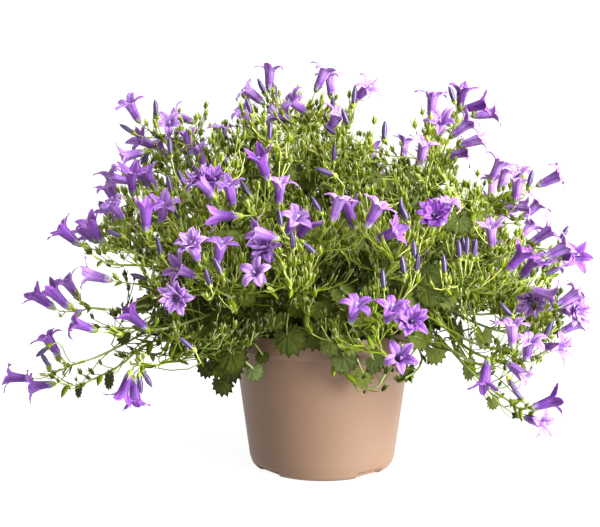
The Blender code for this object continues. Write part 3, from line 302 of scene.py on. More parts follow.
# Sprays on the far side, placed by rule
FAR_SPRAYS = 10
FAR_BLOOMS = 5
FAR_SPREAD = 0.026
FAR_FACING = (0.7, 0.4)
FAR_TURN = 0.2
FAR_REACH = (0.6, 1.1)
FAR_LEAN = (0.3, 0.8)
FAR_LOWEST = 5.0
FAR_RISE = 40.0

# Leaves that show. Each is its picture place, its distance from the pot's axis and its size.
SHOWN_LEAVES = [
    (163, 311, 0.114, 0.0095), (175, 350, 0.102, 0.0090), (207, 346, 0.092, 0.0095),
    (205, 368, 0.090, 0.0090), (228, 371, 0.084, 0.0115), (222, 386, 0.081, 0.0095),
    (122, 337, 0.140, 0.0070), (110, 381, 0.148, 0.0075), (79, 391, 0.166, 0.0060),
    (291, 342, 0.079, 0.0125), (313, 338, 0.074, 0.0105), (334, 345, 0.079, 0.0100),
    (345, 362, 0.075, 0.0105), (363, 379, 0.075, 0.0085), (376, 364, 0.077, 0.0080),
    (407, 373, 0.078, 0.0080), (425, 337, 0.090, 0.0100), (457, 331, 0.103, 0.0105),
    (437, 354, 0.096, 0.0095), (483, 339, 0.114, 0.0095), (470, 370, 0.108, 0.0095),
    (493, 403, 0.120, 0.0060), (458, 225, 0.130, 0.0100), (430, 275, 0.120, 0.0110),
    (433, 296, 0.112, 0.0110), (285, 176, 0.090, 0.0105), (240, 268, 0.105, 0.0120),
    (232, 300, 0.100, 0.0120), (252, 322, 0.086, 0.0110), (372, 300, 0.090, 0.0110),
    (196, 312, 0.104, 0.0110), (330, 318, 0.086, 0.0110),
]

# Leaves of the collar round the rim and of the heart of the plant
COLLAR_LEAVES = 18
COLLAR_FROM = math.radians(-25)
COLLAR_ARC = math.radians(230)
COLLAR_REACH = (0.060, 0.125)
COLLAR_HEIGHT = (0.118, 0.153)
COLLAR_FALL = 0.15
HEART_LEAVES = 12
HEART_REACH = (0.006, 0.056)
HEART_HEIGHT = (0.108, 0.165)

# Fine bells. The mark tells the inner face from the outer one in a look.
LOBE_COLUMNS = 4
TUBE_ROWS = 7
LOBE_ROWS = 6
PETAL_THICKNESS = 0.00028
INNER_MARK = 4.0
TUBE_SKEW = (0.36, 0.48, 0.80)
TUBE_RADII = (0.0014, 0.0019, 0.0023, 0.0025, 0.0027, 0.0030, 0.0033)
TUBE_SPREAD = (0.93, 1.07)
TUBE_RIB = 0.05
FINE_MOUTH_RADIUS = 0.0033
LOBE_LENGTH = 0.0092
LOBE_LENGTHS = (0.86, 1.06)
LOBE_HALF_WIDTH = 0.0030
LOBE_STEPS = np.array((0.14, 0.32, 0.50, 0.68, 0.85, 1.0))
LOBE_SHAPE = ((0.0, 0.12, 0.35, 0.55, 0.75, 0.9, 1.0), (0.78, 0.93, 0.96, 0.80, 0.52, 0.24, 0.02))
LOBE_START = math.radians(20)
LOBE_CURVE_STEPS = 41
LOBE_CURL = 0.70
LOBE_CUP = (-0.25, 0.45)
LOBE_SWAY = 0.0014
LOBE_TWIST = 0.45
FLARE = (math.radians(95), math.radians(152))
FLARE_SPREAD = 0.45
YOUNG_SHARE = 0.12
YOUNG_FLARE = (math.radians(55), math.radians(95))
RUFFLE = 0.0005
RUFFLES = (0.5, 1.5)
RUFFLE_WAVES = (4.0, 8.0)
RUFFLE_ROLL = 0.5
DOUBLE_RUFFLE = 0.0010
STYLE_RADII = (0.00024, 0.00030)
STYLE_BEYOND = 0.0012
STYLE_BEND = 0.0008
STYLE_HANDLE = 0.0040
STYLE_TIPS = 3
STYLE_TIP = ((0.0006, 0.0010), (0.0011, 0.0004))
STYLE_TIP_RADII = (0.00027, 0.00024, 0.00009)
STYLE_TIP_SINK = 0.0002

# Blooms by spray and place in it: those that are young, and those with inner rings of lobes
YOUNG_BLOOMS = {("spray_06", 1), ("spray_12", 1), ("spray_17", 0), ("spray_24", 1), ("spray_26", 2),
                ("spray_28", 1), ("spray_36", 1), ("spray_38", 0), ("spray_38", 1)}
DOUBLE_BLOOMS = {("spray_31", 0), ("spray_33", 1), ("spray_25", 0), ("spray_25", 2), ("spray_14", 0),
                 ("spray_13", 1), ("spray_39", 2), ("spray_27", 1), ("spray_32", 0)}

# Inner rings of a double bloom: how far up they stand, their size and how far they open
DOUBLE_RINGS = ((0.0012, 0.90, math.radians(88)), (0.0022, 0.72, math.radians(58)))

# Calyces, closed corollas and stalks. Each pair of sepal numbers is a distance out and one along.
CALYX_HEIGHTS = np.array((-0.0016, -0.0009, 0.0, 0.0009, 0.0016))
CALYX_RADII = np.array((0.00045, 0.00115, 0.00175, 0.00195, 0.00170))
SEPAL_SPREAD = (0.35, 1.0)
SEPAL_FOOT = (0.0016, 0.0008)
SEPAL_MIDDLE = (0.00135, 0.00225)
SEPAL_TIP = (0.00425, 0.00340)
SEPAL_WIDTHS = np.array((0.00044, 0.00060, 0.00044, 0.00004))
SEPAL_THICKNESS = 0.00012
SEPAL_LEAN = 0.4
SEPAL_FOLD = 0.3
CLOSED_STEPS = (0.0, 0.08, 0.25, 0.50, 0.72, 0.90, 1.0)
CLOSED_RADII = (0.00074, 0.00106, 0.00126, 0.00147, 0.00129, 0.00071, 0.00004)
CLOSED_PLEAT = 0.16
CLOSED_TWIST = 0.5
CLOSED_CALYX = 0.8
PEDICEL_FINE = 0.00038
STALK_RADII = (0.00094, 0.00075, 0.00060)
STALK_BEFORE = 0.0010
STALK_BEYOND = 0.0008
STALK_SIDE_SKEW = (0.3, 0.2, 0.9)
TOP_LEAF_WAY = (0.7, 1.0, 0.2)
TOP_LEAF_LENGTH = (0.006, 0.010)
STEM_RADII = (0.00110, 0.00072)
PETIOLE_RADII = (0.00066, 0.00048)

# Fine buds and small stem leaves, their forms as shares of their length
BUD_SIDES = 4
BUD_STEPS = (0.0, 0.25, 0.62, 1.0)
BUD_RADII = (0.09, 0.20, 0.17, 0.01)
BUD_SEPALS = 3
BUD_SEPAL_PLACE = (0.3, 0.7)
BUD_SEPAL_FOOT = (0.17, 0.20)
BUD_SEPAL_HEIGHT = (0.8, 1.2)
BUD_SEPAL_OUT = (0.25, 0.60)
BUD_SEPAL_WIDTHS = np.array((0.12, 0.01))
BUD_SEPAL_THICKNESS = 0.0001
BUD_SEPAL_FOLD = 0.2
BUD_STALK_HANDLE = 0.0050
FINE_BUD = (0.0038, 0.0068)
FINE_STALK = (0.007, 0.016)
SPROUT_SHAPE = np.array((0.03, 0.17, 0.22, 0.20, 0.12, 0.01))
SPROUT_BEND = (-0.35, 0.1)
SPROUT_HANDLES = (0.35, 0.30)
SPROUT_RISE = 0.10
SPROUT_WIDTH = (0.8, 1.15)
SPROUT_FOLD = (0.15, 0.5)
SPROUT_LENGTH = (0.005, 0.011)
SPROUT_SHARE = 0.45

# Fine leaves. The marks tell the upper side from the underside in a look.
FINE_LEAF_THICKNESS = 0.0004
LEAF_FINE_TEETH = 6.5
LEAF_TOOTH_DEPTH = 0.20
LEAF_TOOTH_FORM = 1.3
LEAF_FULLNESS = 1.12
LEAF_HUB = 0.02
LEAF_CURL = (-0.20, 0.10)
LEAF_QUILT = 0.055
LEAF_QUILT_REACH = 1.1
VEIN_ANGLES = [math.radians(a) for a in (-128, -82, -40, 0, 40, 82, 128)]
VEIN_SPACING = math.radians(21)
UNDER_MARK = 2.0
UNDER_FROM = 1.6
LEAF_GRID = (53, 5)

# Roots of new growth: stations along a stem, and how far below and how near an end they may lie
ROOT_STATIONS = 20
ROOT_FIRST = 3
ROOT_BELOW = 0.0060
ROOT_LIFT_COST = 1.5
ROOT_NEAREST = 0.0060
SPRIG_CLEARANCE = 0.0002

# Sprigs that fill the plant between its blooms
SPRIGS = 1010
SPRIG_TRIES = 25
SPRIG_LOWEST = -0.30
SPRIG_DEPTH = 0.62
SPRIG_BIAS = 1.35
SPRIG_SPACING = 0.0068
SPRIG_REACH = 0.036
SPRIG_REACHES = (0.7, 1.3)
SPRIG_LONGEST = 0.075
SPRIG_RADII = (0.00050, 0.00038)
SPRIG_POINTS = 6
SPRIG_SCATTER = 0.15
SPRIG_OUTWARD = np.array((1.0, 1.0, 0.3))
SPRIG_LEAN = 0.40
SPRIG_START = 0.25
SPRIG_RISE = 0.10
SPRIG_END = 0.45
SPRIG_HEADROOM = 0.0060
SPRIG_STALKS = (4, 8)
SPRIG_BARE = 0.74
SPRIG_CLOSED = 0.07
STRAY_SHARE = 0.06
STRAY_LOWEST = 0.125

# Outline of the dense growth, as picture places. Few sprigs stand outside it.
DENSE_OUTLINE = [
    (118, 208), (104, 190), (110, 165), (122, 132), (150, 122), (162, 108), (195, 128), (222, 118),
    (250, 95), (262, 84), (290, 104), (325, 84), (345, 108), (362, 98), (372, 152), (392, 162), (412, 158),
    (426, 122), (446, 106), (462, 122), (446, 152), (460, 176), (484, 190), (484, 214), (512, 234),
    (545, 256), (566, 286), (562, 332), (540, 348), (515, 344), (506, 322), (500, 296), (476, 298),
    (450, 306), (425, 322), (395, 332), (365, 336), (335, 334), (300, 322), (262, 328), (236, 340),
    (205, 345), (175, 335), (166, 310), (152, 296), (160, 272), (140, 262), (122, 245), (96, 240),
    (88, 226)]

# Stalks and small leaves along a sprig or a pedicel. Each way is a mix of along, out and up.
BRANCH_STATIONS = (4, 9)
BRANCH_FROM = 0.30
BRANCH_SHARE = 0.66
BRANCH_PLACE = (0.2, 0.8)
BRANCH_TURN = 2.4
STALK_WAY = (0.8, 0.45, 0.35)
BUD_END_WAY = (0.5, 0.15, 0.8)
SPROUT_WAY = (0.6, 0.8)
STALK_OFF_POT = 0.0008
STALK_CLEAR = 0.0009
SPROUT_CLEAR = 0.0010
STALK_BEND = 0.2
STALK_HANDLES = (0.4, 0.35)
SIDE_BUD_SPACING = 0.0075
SIDE_STALK = (0.003, 0.007)
SIDE_STALK_RISE = 0.6
SIDE_BUD_RISE = 0.7
SIDE_LEAF_OUT = 0.6
SIDE_LEAF_LENGTH = (0.004, 0.007)

# Leaves in the heart of the plant
FILL_LEAVES = 330
FILL_TRIES = 10
FILL_REACH = 0.120
FILL_MIDDLE = 0.004
FILL_HEIGHT = (0.104, 0.215)
FILL_FALL = 0.20
FILL_SHARE = 0.74
FILL_OUT = (0.1, 1.0)
FILL_UP = 0.8
FILL_TILT = 0.5
FILL_TURN = 0.9
FILL_DROOP = (0.0, 0.5)
FILL_SIZE = (0.0065, 0.0180)
FILL_SIZES = (0.8, 1.1)
FILL_LONGEST = 0.060
FILL_PETIOLE = (0.2, 0.25, 0.35)
FILL_PETIOLE_POINTS = 5
FILL_PETIOLE_RADIUS = 0.00048
FILL_END_WAY = (0.8, 0.5)
FILL_LEAF_GRID = (27, 3)
LEAF_CLEAR = 0.0008
LEAF_ROOT_REACH = 0.022

# Leaves at the rim: picture place, distance from the pot's axis, size, lean to the right, tone
RIM_LEAVES = [
    (255, 373, 0.076, 0.0075, 0.6, 0.9), (262, 358, 0.075, 0.0055, 0.0, 0.1),
    (244, 296, 0.104, 0.0095, 0.1, 0.4), (189, 334, 0.098, 0.0065, -0.3, 0.3),
    (418, 300, 0.112, 0.0095, 0.2, 0.4), (360, 318, 0.104, 0.0085, 0.0, 0.5),
    (352, 347, 0.080, 0.0080, 0.3, 0.7), (274, 322, 0.092, 0.0085, -0.2, 0.3),
    (398, 318, 0.104, 0.0085, 0.3, 0.5), (447, 300, 0.116, 0.0085, 0.1, 0.6),
    (214, 346, 0.095, 0.0120, -0.4, 0.2), (232, 361, 0.088, 0.0120, 0.2, 0.3),
    (196, 343, 0.099, 0.0100, -0.7, 0.2), (219, 367, 0.085, 0.0110, 0.0, 0.5),
    (243, 340, 0.086, 0.0090, 0.3, 0.1)]
RIM_LEAF_LONGEST = 0.080
RIM_LEAF_FACING = 0.7
RIM_LEAF_OUT = 0.5
RIM_LEAF_UP = (0.1, 0.6)
RIM_LEAF_SPREAD = 0.2
RIM_PETIOLE = (0.2, 0.3, 0.35, 0.1)

# Trailing shoots: picture places with the distance from the pot's axis
SHOOTS = [
    [(452, 338, 0.098), (473, 352, 0.112), (495, 360, 0.124), (514, 362, 0.136), (534, 357, 0.150),
     (550, 349, 0.160)],
    [(458, 345, 0.102), (471, 366, 0.108), (484, 384, 0.116), (498, 402, 0.124), (512, 413, 0.134)],
    [(330, 350, 0.074), (346, 376, 0.073), (364, 388, 0.074), (378, 386, 0.077), (385, 374, 0.080)],
    [(205, 328, 0.088), (149, 343, 0.122), (122, 364, 0.140), (96, 378, 0.156), (73, 386, 0.172),
     (55, 378, 0.184)],
    [(230, 318, 0.086), (172, 324, 0.112), (134, 328, 0.138), (100, 327, 0.160)],
    [(200, 274, 0.112), (148, 266, 0.142), (111, 264, 0.160), (92, 254, 0.172)],
    [(418, 340, 0.082), (422, 358, 0.083), (417, 370, 0.082), (405, 378, 0.080)]]
SHOOT_POINTS = 22
SHOOT_RADII = (0.0010, 0.0006)
SHOOT_SPACING = 0.0075
SHOOT_ROOT_REACH = 0.012
SMOOTH_STEPS = 12

# Closed corollas between the stems, as the picture places of tip and root
SHOWN_CLOSED = [
    (155.6, 106, 157, 118), (170, 145, 171, 157), (219, 268, 223, 276), (159, 245, 162, 257),
    (270, 129, 269, 142), (354.5, 93, 353, 106), (345, 116.5, 349, 127), (384.6, 127, 383.8, 141),
    (564.5, 233, 559, 243), (531, 177, 528, 189), (557, 269, 543, 275), (549, 328, 544, 339),
    (514, 388.5, 508, 377), (41, 352.5, 50, 345), (140.6, 387, 139, 374), (402, 207, 405, 219),
    (280, 217, 282, 229), (403, 264, 405, 276), (459, 248, 460, 260), (467, 245, 466, 257),
    (475, 247, 473, 259), (414, 249, 415, 261), (444, 263, 445, 275), (179, 337, 195, 350.5)]
SHOWN_CLOSED_SHIFTS = (0.0, 0.006, -0.006, 0.012, 0.018, 0.026, 0.036)
CLOSED_ROOT_REACH = 0.014
CLOSED_LONGEST = 0.060
CLOSED_STALK = (0.3, 0.4)

# Tones, from dark at 0 to pale at 1, and the places that they change at
# Petal tone: a base, and a rise toward the right that is painted light from the key at the right
PETAL_TONE_AND_PAINTED_LIGHT = (0.72, 1.9)
PETAL_TONE_SPREAD = 0.35
YOUNG_TONE = (0.0, 0.2)
# Low blooms near the middle get a darker tone: painted shade under the foliage
LOW_BLOOM = 0.135
LOW_BLOOM_PAINTED_SHADE = 0.65
LOW_BLOOM_REACH = 0.100
DARK_CLOSED = 0.6
PEDICEL_TONE = (0.3, 0.65)
CALYX_TONE = (0.3, 0.7)
CLOSED_STALK_TONE = 0.65
SPRAY_STALK_TONE = 0.55
STEM_TONE = (0.15, 0.45)
PETIOLE_TONE = (0.4, 0.7)
KNOB_TONE = 0.3
BUD_STALK_TONE = 0.7
BUD_TONE = 0.5
BUD_DARKER = 0.40
SEPAL_LIGHTER = 0.15
# Sprig tone from deep inside the plant to its outside: painted shade inside, lighter outside
SPRIG_PAINTED_SHADE_TONE = (0.12, 0.84)
SPRIG_TONE_SPREAD = (-0.15, 0.15)
STALK_TONE_SPREAD = (-0.15, 0.2)
LIGHTEST_SPRIG = 0.78
LOW_SHADE = 0.35
LOW_SHADE_FROM = 0.080
LOW_SHADE_RANGE = 0.075
SHOOT_TONE = 0.30
SIDE_BUD_TONE = (0.35, 0.7)
SIDE_LEAF_TONE = (0.5, 1.0)
# Leaf tone that upper leaves keep: dark, as painted shade
UPPER_LEAF_PAINTED_SHADE = (-0.50, 0.10)
# Low leaves: a base and a rise toward the right, painted light from the key at the right
LOW_LEAF_PAINTED_LIGHT = (0.25, 1.8)
LOW_LEAF = 0.120
FILL_TONE = 0.45
FILL_PETIOLE_TONE = (0.3, 0.7)

# Colours, as linear red, green and blue
WHITE = (1.0, 1.0, 1.0)
BLACK = (0.0, 0.0, 0.0)
# Strength of the painted light inside the throat near the mouth
THROAT_PAINTED_LIGHT_FADE = (0.85, 0.85, 0.85)
TUBE_YOUNG = (0.45, 0.34, 0.62)
# Pale base of an old tube: partly its own colour, partly painted light shining through it
TUBE_OLD_AND_PAINTED_GLOW = (0.62, 0.52, 0.76)
PETAL_SHADE = (0.11, 0.024, 0.19)
PETAL_DARK = (0.18, 0.050, 0.28)
PETAL_MID = (0.29, 0.110, 0.41)
PETAL_YOUNG = (0.23, 0.068, 0.33)
PETAL_PALE = (0.48, 0.285, 0.57)
# Paler inner face of the tube: painted light inside the throat
THROAT_PAINTED_LIGHT = (0.72, 0.50, 0.85)
PETAL_VEIN = (0.085, 0.02, 0.19)
PETAL_CLOUD_DARK = (0.50, 0.46, 0.58)
PETAL_GRAIN_DARK = (0.55, 0.55, 0.62)
STYLE_DARK = (0.50, 0.36, 0.62)
STYLE_PALE = (0.66, 0.54, 0.76)
CLOSED_DARK = ((0.0, (0.10, 0.11, 0.04)), (0.16, (0.028, 0.007, 0.060)), (0.6, (0.024, 0.005, 0.062)),
               (1.0, (0.018, 0.004, 0.042)))
CLOSED_LIGHT = ((0.3, (0.022, 0.005, 0.046)), (0.7, (0.042, 0.010, 0.082)))
# Painted highlight along each fold of a closed corolla
CLOSED_FOLD_PAINTED_HIGHLIGHT = (0.42, 0.31, 0.52)
GREEN_DEEP = (0.028, 0.042, 0.0003)
GREEN_MID = (0.178, 0.228, 0.007)
GREEN_BRIGHT = (0.53, 0.548, 0.14)
# Pale tips of buds and stems: partly their own paler colour, partly painted highlight
GREEN_TIP_PALE_AND_HIGHLIGHT = (0.64, 0.68, 0.36)
GREEN_GRAIN_DARK = (0.5, 0.55, 0.4)
SPROUT_GRAIN_DARK = (0.5, 0.55, 0.45)
LEAF_DEEP = (0.019, 0.026, 0.001)
LEAF_MID = (0.092, 0.109, 0.011)
LEAF_GREY = (0.17, 0.20, 0.075)
LEAF_UNDER = (0.092, 0.110, 0.018)
LEAF_VEIN = (0.12, 0.17, 0.06)
LEAF_GRAIN_DARK = (0.5, 0.55, 0.5)
BARK_DARK = (0.05, 0.05, 0.02)
BARK_PALE = (0.16, 0.16, 0.06)
POT_DARK = (0.165, 0.084, 0.045)
POT_PALE = (0.194, 0.120, 0.077)
POT_GRAIN_DARK = (0.7, 0.7, 0.7)
SOIL_COLOURS = ((0.35, (0.012, 0.008, 0.005)), (0.55, (0.045, 0.028, 0.018)), (0.68, (0.10, 0.065, 0.04)),
                (0.80, (0.40, 0.36, 0.30)))
FLOOR_DARK = (0.16, 0.16, 0.16)
FLOOR_PALE = (0.18, 0.18, 0.18)

# Patterns: noise scales, veins as place, height and slope, shares and depths of relief
PETAL_CLOUD = 110.0
PETAL_GRAIN = 700.0
FINE_GRAIN = 900.0
GREEN_GRAIN = 500.0
SPROUT_GRAIN = 450.0
LEAF_GRAIN = 300.0
LEAF_PATCHES = 60.0
BARK_GRAIN = 350.0
SOIL_CLODS = 120.0
POT_CLOUD = 14.0
FLOOR_GRAIN = 40.0
MIDDLE_VEIN = (0.0, 1.0, 2.9)
SIDE_VEIN = (0.52, 0.6, 6.0)
PETAL_VEIN_SHARE = 0.85
PETAL_VEIN_RELIEF = -0.5
# How narrow and how strong the painted highlight on the folds is
CLOSED_HIGHLIGHT_FALL = 9.0
CLOSED_HIGHLIGHT_SHARE = 0.62
# How far and how strongly the pale tips with their painted highlight reach
GREEN_TIP_HIGHLIGHT_FALL = 5.0
GREEN_TIP_HIGHLIGHT_SHARE = 0.55
SPROUT_RIB_SHARE = 0.35
RIB_SLOPE = 5.0
SIDE_VEINS = 6.0
SIDE_VEIN_SLANT = 1.6
LEAF_SIDE_VEIN = (0.5, 0.6, 6.0)
LEAF_PATCH_SHARE = 0.4
LEAF_VEIN_SHARE = 0.32
LEAF_VEIN_RELIEF = 0.6
FINE_RELIEF = 0.0002
STYLE_RELIEF = 0.0001
LEAF_RELIEF = 0.0004
BARK_RELIEF = 0.0006
SOIL_RELIEF = 0.0012
POT_RELIEF = 0.00008
BUMP_STRENGTH = 0.6

# Camera, light and floor
SENSOR = 36.0
PICTURE_WIDTH = 600
FLOOR_SIZE = 80.0
FLOOR_GLOW = (0.93, 0.97)
FLOOR_GLOW_REACH = (0.5, 2.5)
LIGHT_TARGET = (0.0, 0.0, 0.12)
STUDIO_LIGHTS = (("key_light", (1.28, -0.85, 0.50), 1.05, 124.0), ("top_light", (0.3, -0.3, 1.4), 0.8, 32.0))
KEY_COLOUR = (0.90, 0.94, 1.0)

# Surround: for each axis, a range of the line of sight and the glow at its two ends
SURROUND = (((-1.0, 1.0), (0.08, 0.92)), ((0.75, 0.97), (0.0, 0.98)), ((0.25, 0.85), (0.0, 0.34)))


def unit(vector):
    return vector / np.linalg.norm(vector)


def cross(a, b):
    """The cross product of two vectors, quicker than the general one."""
    return np.array((a[1] * b[2] - a[2] * b[1], a[2] * b[0] - a[0] * b[2], a[0] * b[1] - a[1] * b[0]))


def beside(way, skew):
    """Two directions at right angles to a line and to each other."""
    side = unit(cross(way, skew))
    return side, cross(way, side)


def turned(side, other, angle):
    """The direction at an angle from one of two directions toward the other."""
    return side * math.cos(angle) + other * math.sin(angle)


def toward(bearing):
    """The level direction at a bearing."""
    return np.array((math.cos(bearing), math.sin(bearing), 0.0))


def level_beside(outward):
    """The level direction at right angles to a level one."""
    return np.array((-outward[1], outward[0], 0.0))


def in_plane(way, normal):
    """A direction laid into the plane that a normal stands on."""
    normal = unit(normal)
    return unit(way - normal * way.dot(normal))


def sight(u, v):
    """Direction of the line of sight through a picture point, scaled to 1 along +Y."""
    ahead = np.array((0.0, math.cos(PITCH), -math.sin(PITCH)))
    above = np.array((0.0, math.sin(PITCH), math.cos(PITCH)))
    line = ahead * FOCAL + above * (PICTURE_CENTRE[1] - v)
    line[0] = u - PICTURE_CENTRE[0]
    return line / line[1]


def at_depth(u, v, depth):
    """The point seen at a picture place, on the plane y = depth."""
    return EYE + sight(u, v) * (depth - EYE[1])


def dome_depths(u, v):
    """The y at which the line of sight enters and leaves the dome, or passes nearest to it."""
    line = sight(u, v) / DOME_REACH
    start = (EYE - DOME_CENTRE) / DOME_REACH
    nearest = -start.dot(line) / line.dot(line)
    inside = 1.0 - (start.dot(start) - nearest * nearest * line.dot(line))
    half_chord = math.sqrt(max(inside, 0.0) / line.dot(line))
    return EYE[1] + nearest - half_chord, EYE[1] + nearest + half_chord


def at_reach(u, v, reach):
    """The nearer point seen at a picture place, at a distance from the pot's axis."""
    line = sight(u, v)
    a = line[0] ** 2 + line[1] ** 2
    b = EYE[0] * line[0] + EYE[1] * line[1]
    c = EYE[0] ** 2 + EYE[1] ** 2 - reach ** 2
    return EYE - line * (b + math.sqrt(max(b * b - a * c, 0.0))) / a


def bezier(ends, handles, count):
    """Points of a curve with given ends and handles."""
    t = np.linspace(0.0, 1.0, count)[:, None]
    s = 1.0 - t
    return (s ** 3 * ends[0] + 3 * s * s * t * handles[0] + 3 * s * t * t * handles[1]
            + t ** 3 * ends[1])


def spans(points, radius):
    """Capsules along a line of points."""
    return [(points[i], points[i + 1], radius) for i in range(len(points) - 1)]


def least_gap(capsules, start, end, radius):
    """The least distance between the surfaces of two groups of capsules."""
    if not len(start):
        return 1.0
    along = end - start
    length = np.maximum((along * along).sum(1), TINY)
    least = 1.0
    for first, last, thickness in capsules:
        line = last - first
        size = max(line.dot(line), TINY)
        offset = first - start
        cross = along @ line
        ahead = offset @ line
        back = (along * offset).sum(1)
        spread = np.maximum(size * length - cross * cross, TINY ** 2)
        s = np.clip((cross * back - ahead * length) / spread, 0.0, 1.0)
        t = np.clip((cross * s + back) / length, 0.0, 1.0)
        s = np.clip((cross * t - ahead) / size, 0.0, 1.0)
        gap = offset + s[:, None] * line - t[:, None] * along
        least = min(least, float((np.sqrt((gap * gap).sum(1)) - radius).min()) - thickness)
    return least


class Space:
    """Everything placed so far, as capsules, so that each new piece is bent clear of it."""

    def __init__(self, limit=60000):
        self.start = np.zeros((limit, 3))
        self.end = np.zeros((limit, 3))
        self.radius = np.zeros(limit)
        self.owner = np.full(limit, "", dtype="U16")
        self.count = 0

    def add(self, capsules, owner):
        for start, end, radius in capsules:
            self.start[self.count] = start
            self.end[self.count] = end
            self.radius[self.count] = radius
            self.owner[self.count] = owner
            self.count += 1

    def room(self, capsules, *skipped):
        """The least clearance to the pieces of all owners but the skipped ones."""
        keep = np.ones(self.count, bool)
        for owner in skipped:
            keep &= self.owner[:self.count] != owner
        n = self.count
        return least_gap(capsules, self.start[:n][keep], self.end[:n][keep], self.radius[:n][keep])


def off_pot(capsules):
    """Whether capsules stay off the pot's wall and rim, above the soil and above the ground."""
    steps = np.linspace(0.0, 1.0, PATH_SAMPLES)[:, None]
    for start, end, radius in capsules:
        margin = radius + CLEARANCE
        points = start + (end - start) * steps
        reach = np.hypot(points[:, 0], points[:, 1])
        height = points[:, 2]
        low = (reach < RIM_RADIUS + margin) & (height < RIM_TOP + margin)
        wall = reach > RIM_RADIUS - RIM_OVERHANG - margin
        soil = height < SOIL_TOP + SOIL_CROWN + margin
        if (low & (wall | soil)).any() or (height < margin).any():
            return False
    return True


class Bloom:
    """An open bloom: where its mouth is, which way it faces, and its turn about that line."""

    def __init__(self, mouth, axis, turn, size=1.0):
        self.mouth = mouth
        self.axis = unit(axis)
        self.turn = turn
        self.size = size
        self.root = mouth - self.axis * TUBE_LENGTH * size

    def around(self, angle, radius, lift):
        """A point around the bloom's line, at a radius and a lift beyond the mouth."""
        ring = turned(*beside(self.axis, BELL_SKEW), angle + self.turn)
        return self.mouth + (ring * radius + self.axis * lift) * self.size

    def capsules(self):
        half = (self.root + self.mouth) / 2
        step = 2 * math.pi / LOBES
        tips = [self.around(step * k, STAR_RADIUS, LOBE_LIFT) for k in range(LOBES)]
        return ([(self.root, half, BELL_CLEAR[0] * self.size), (half, self.mouth, MOUTH_RADIUS * self.size)]
                + [(self.mouth, tip, BELL_CLEAR[1]) for tip in tips])


class Spray:
    """Blooms and closed corollas on pedicels that leave one short stalk."""

    def __init__(self, name, pedicel_points):
        self.name = name
        self.pedicel_points = pedicel_points
        self.blooms = []
        self.closed = []
        self.pedicels = []
        self.top = None
        self.seat = None

    def try_stalk(self, space, top, seat):
        """Pedicels from a stalk to each bloom, with how clear they are of all else."""
        ends = ([(bloom.root, bloom.axis) for bloom in self.blooms]
                + [(root, unit(tip - root)) for tip, root in self.closed])
        parts = ([bloom.capsules() for bloom in self.blooms]
                 + [[(root, tip, CLOSED_RADIUS)] for tip, root in self.closed])
        down = unit(seat - top)
        lines = []
        inner = 1.0
        for k, (root, axis) in enumerate(ends):
            foot = top + down * (PEDICEL_SINK + STALK_LENGTH * PEDICEL_SPREAD * k / len(ends))
            reach = np.linalg.norm(root - foot)
            count = self.pedicel_points if k < len(self.blooms) else FAR_PEDICEL_POINTS
            handles = (foot - down * reach * PEDICEL_BENDS[0], root - axis * reach * PEDICEL_BENDS[1])
            points = bezier((foot, root), handles, count)
            lines.append((points, ((foot, root), handles)))
            others = [capsule for j, part in enumerate(parts) if j != k for capsule in part]
            if others:
                start, end, radius = (np.array(column) for column in zip(*others))
                inner = min(inner, least_gap(spans(points, PEDICEL_RADIUS), start, end, radius))
        trial = spans([top, seat], STALK_RADIUS)
        trial += [span for points, line in lines for span in spans(points, PEDICEL_RADIUS)]
        room = space.room(trial, self.name) if off_pot(trial) else -1.0
        return room, inner, lines, trial

    def join(self, space):
        """Finds a place for the stalk that brings all pedicels clear."""
        roots = [bloom.root for bloom in self.blooms] + [root for tip, root in self.closed]
        middle = sum(roots) / len(roots)
        home = np.array((middle[0] * HOME_SHARE, middle[1] * HOME_SHARE, HOME_HEIGHT))
        back = unit(home - middle)
        side, other = beside(back, STALK_SKEW)
        best = None
        for drop, across, lift in STALK_TRIES:
            top = middle + back * STALK_DROP * drop + side * across + other * lift
            seat = top + back * STALK_LENGTH
            room, inner, lines, trial = self.try_stalk(space, top, seat)
            score = min(room, CLEARANCE) + INNER_WEIGHT * min(inner, CLEARANCE)
            if best is None or score > best[0]:
                best = (score, top, seat, lines, trial)
            if room >= CLEARANCE and inner >= CLEARANCE:
                break
        self.top, self.seat = best[1:3]
        self.pedicels = [line for points, line in best[3]]
        space.add(best[4], self.name)


def fit_bloom(space, bloom_at, name):
    """The bloom that needs the least shift along and across the line of sight to be clear."""
    for across in SIDE_SHIFTS:
        for shift in DEPTH_SHIFTS:
            bloom = bloom_at(shift, across)
            if off_pot(bloom.capsules()) and space.room(bloom.capsules()) >= CLEARANCE:
                space.add(bloom.capsules(), name)
                return bloom
    return None


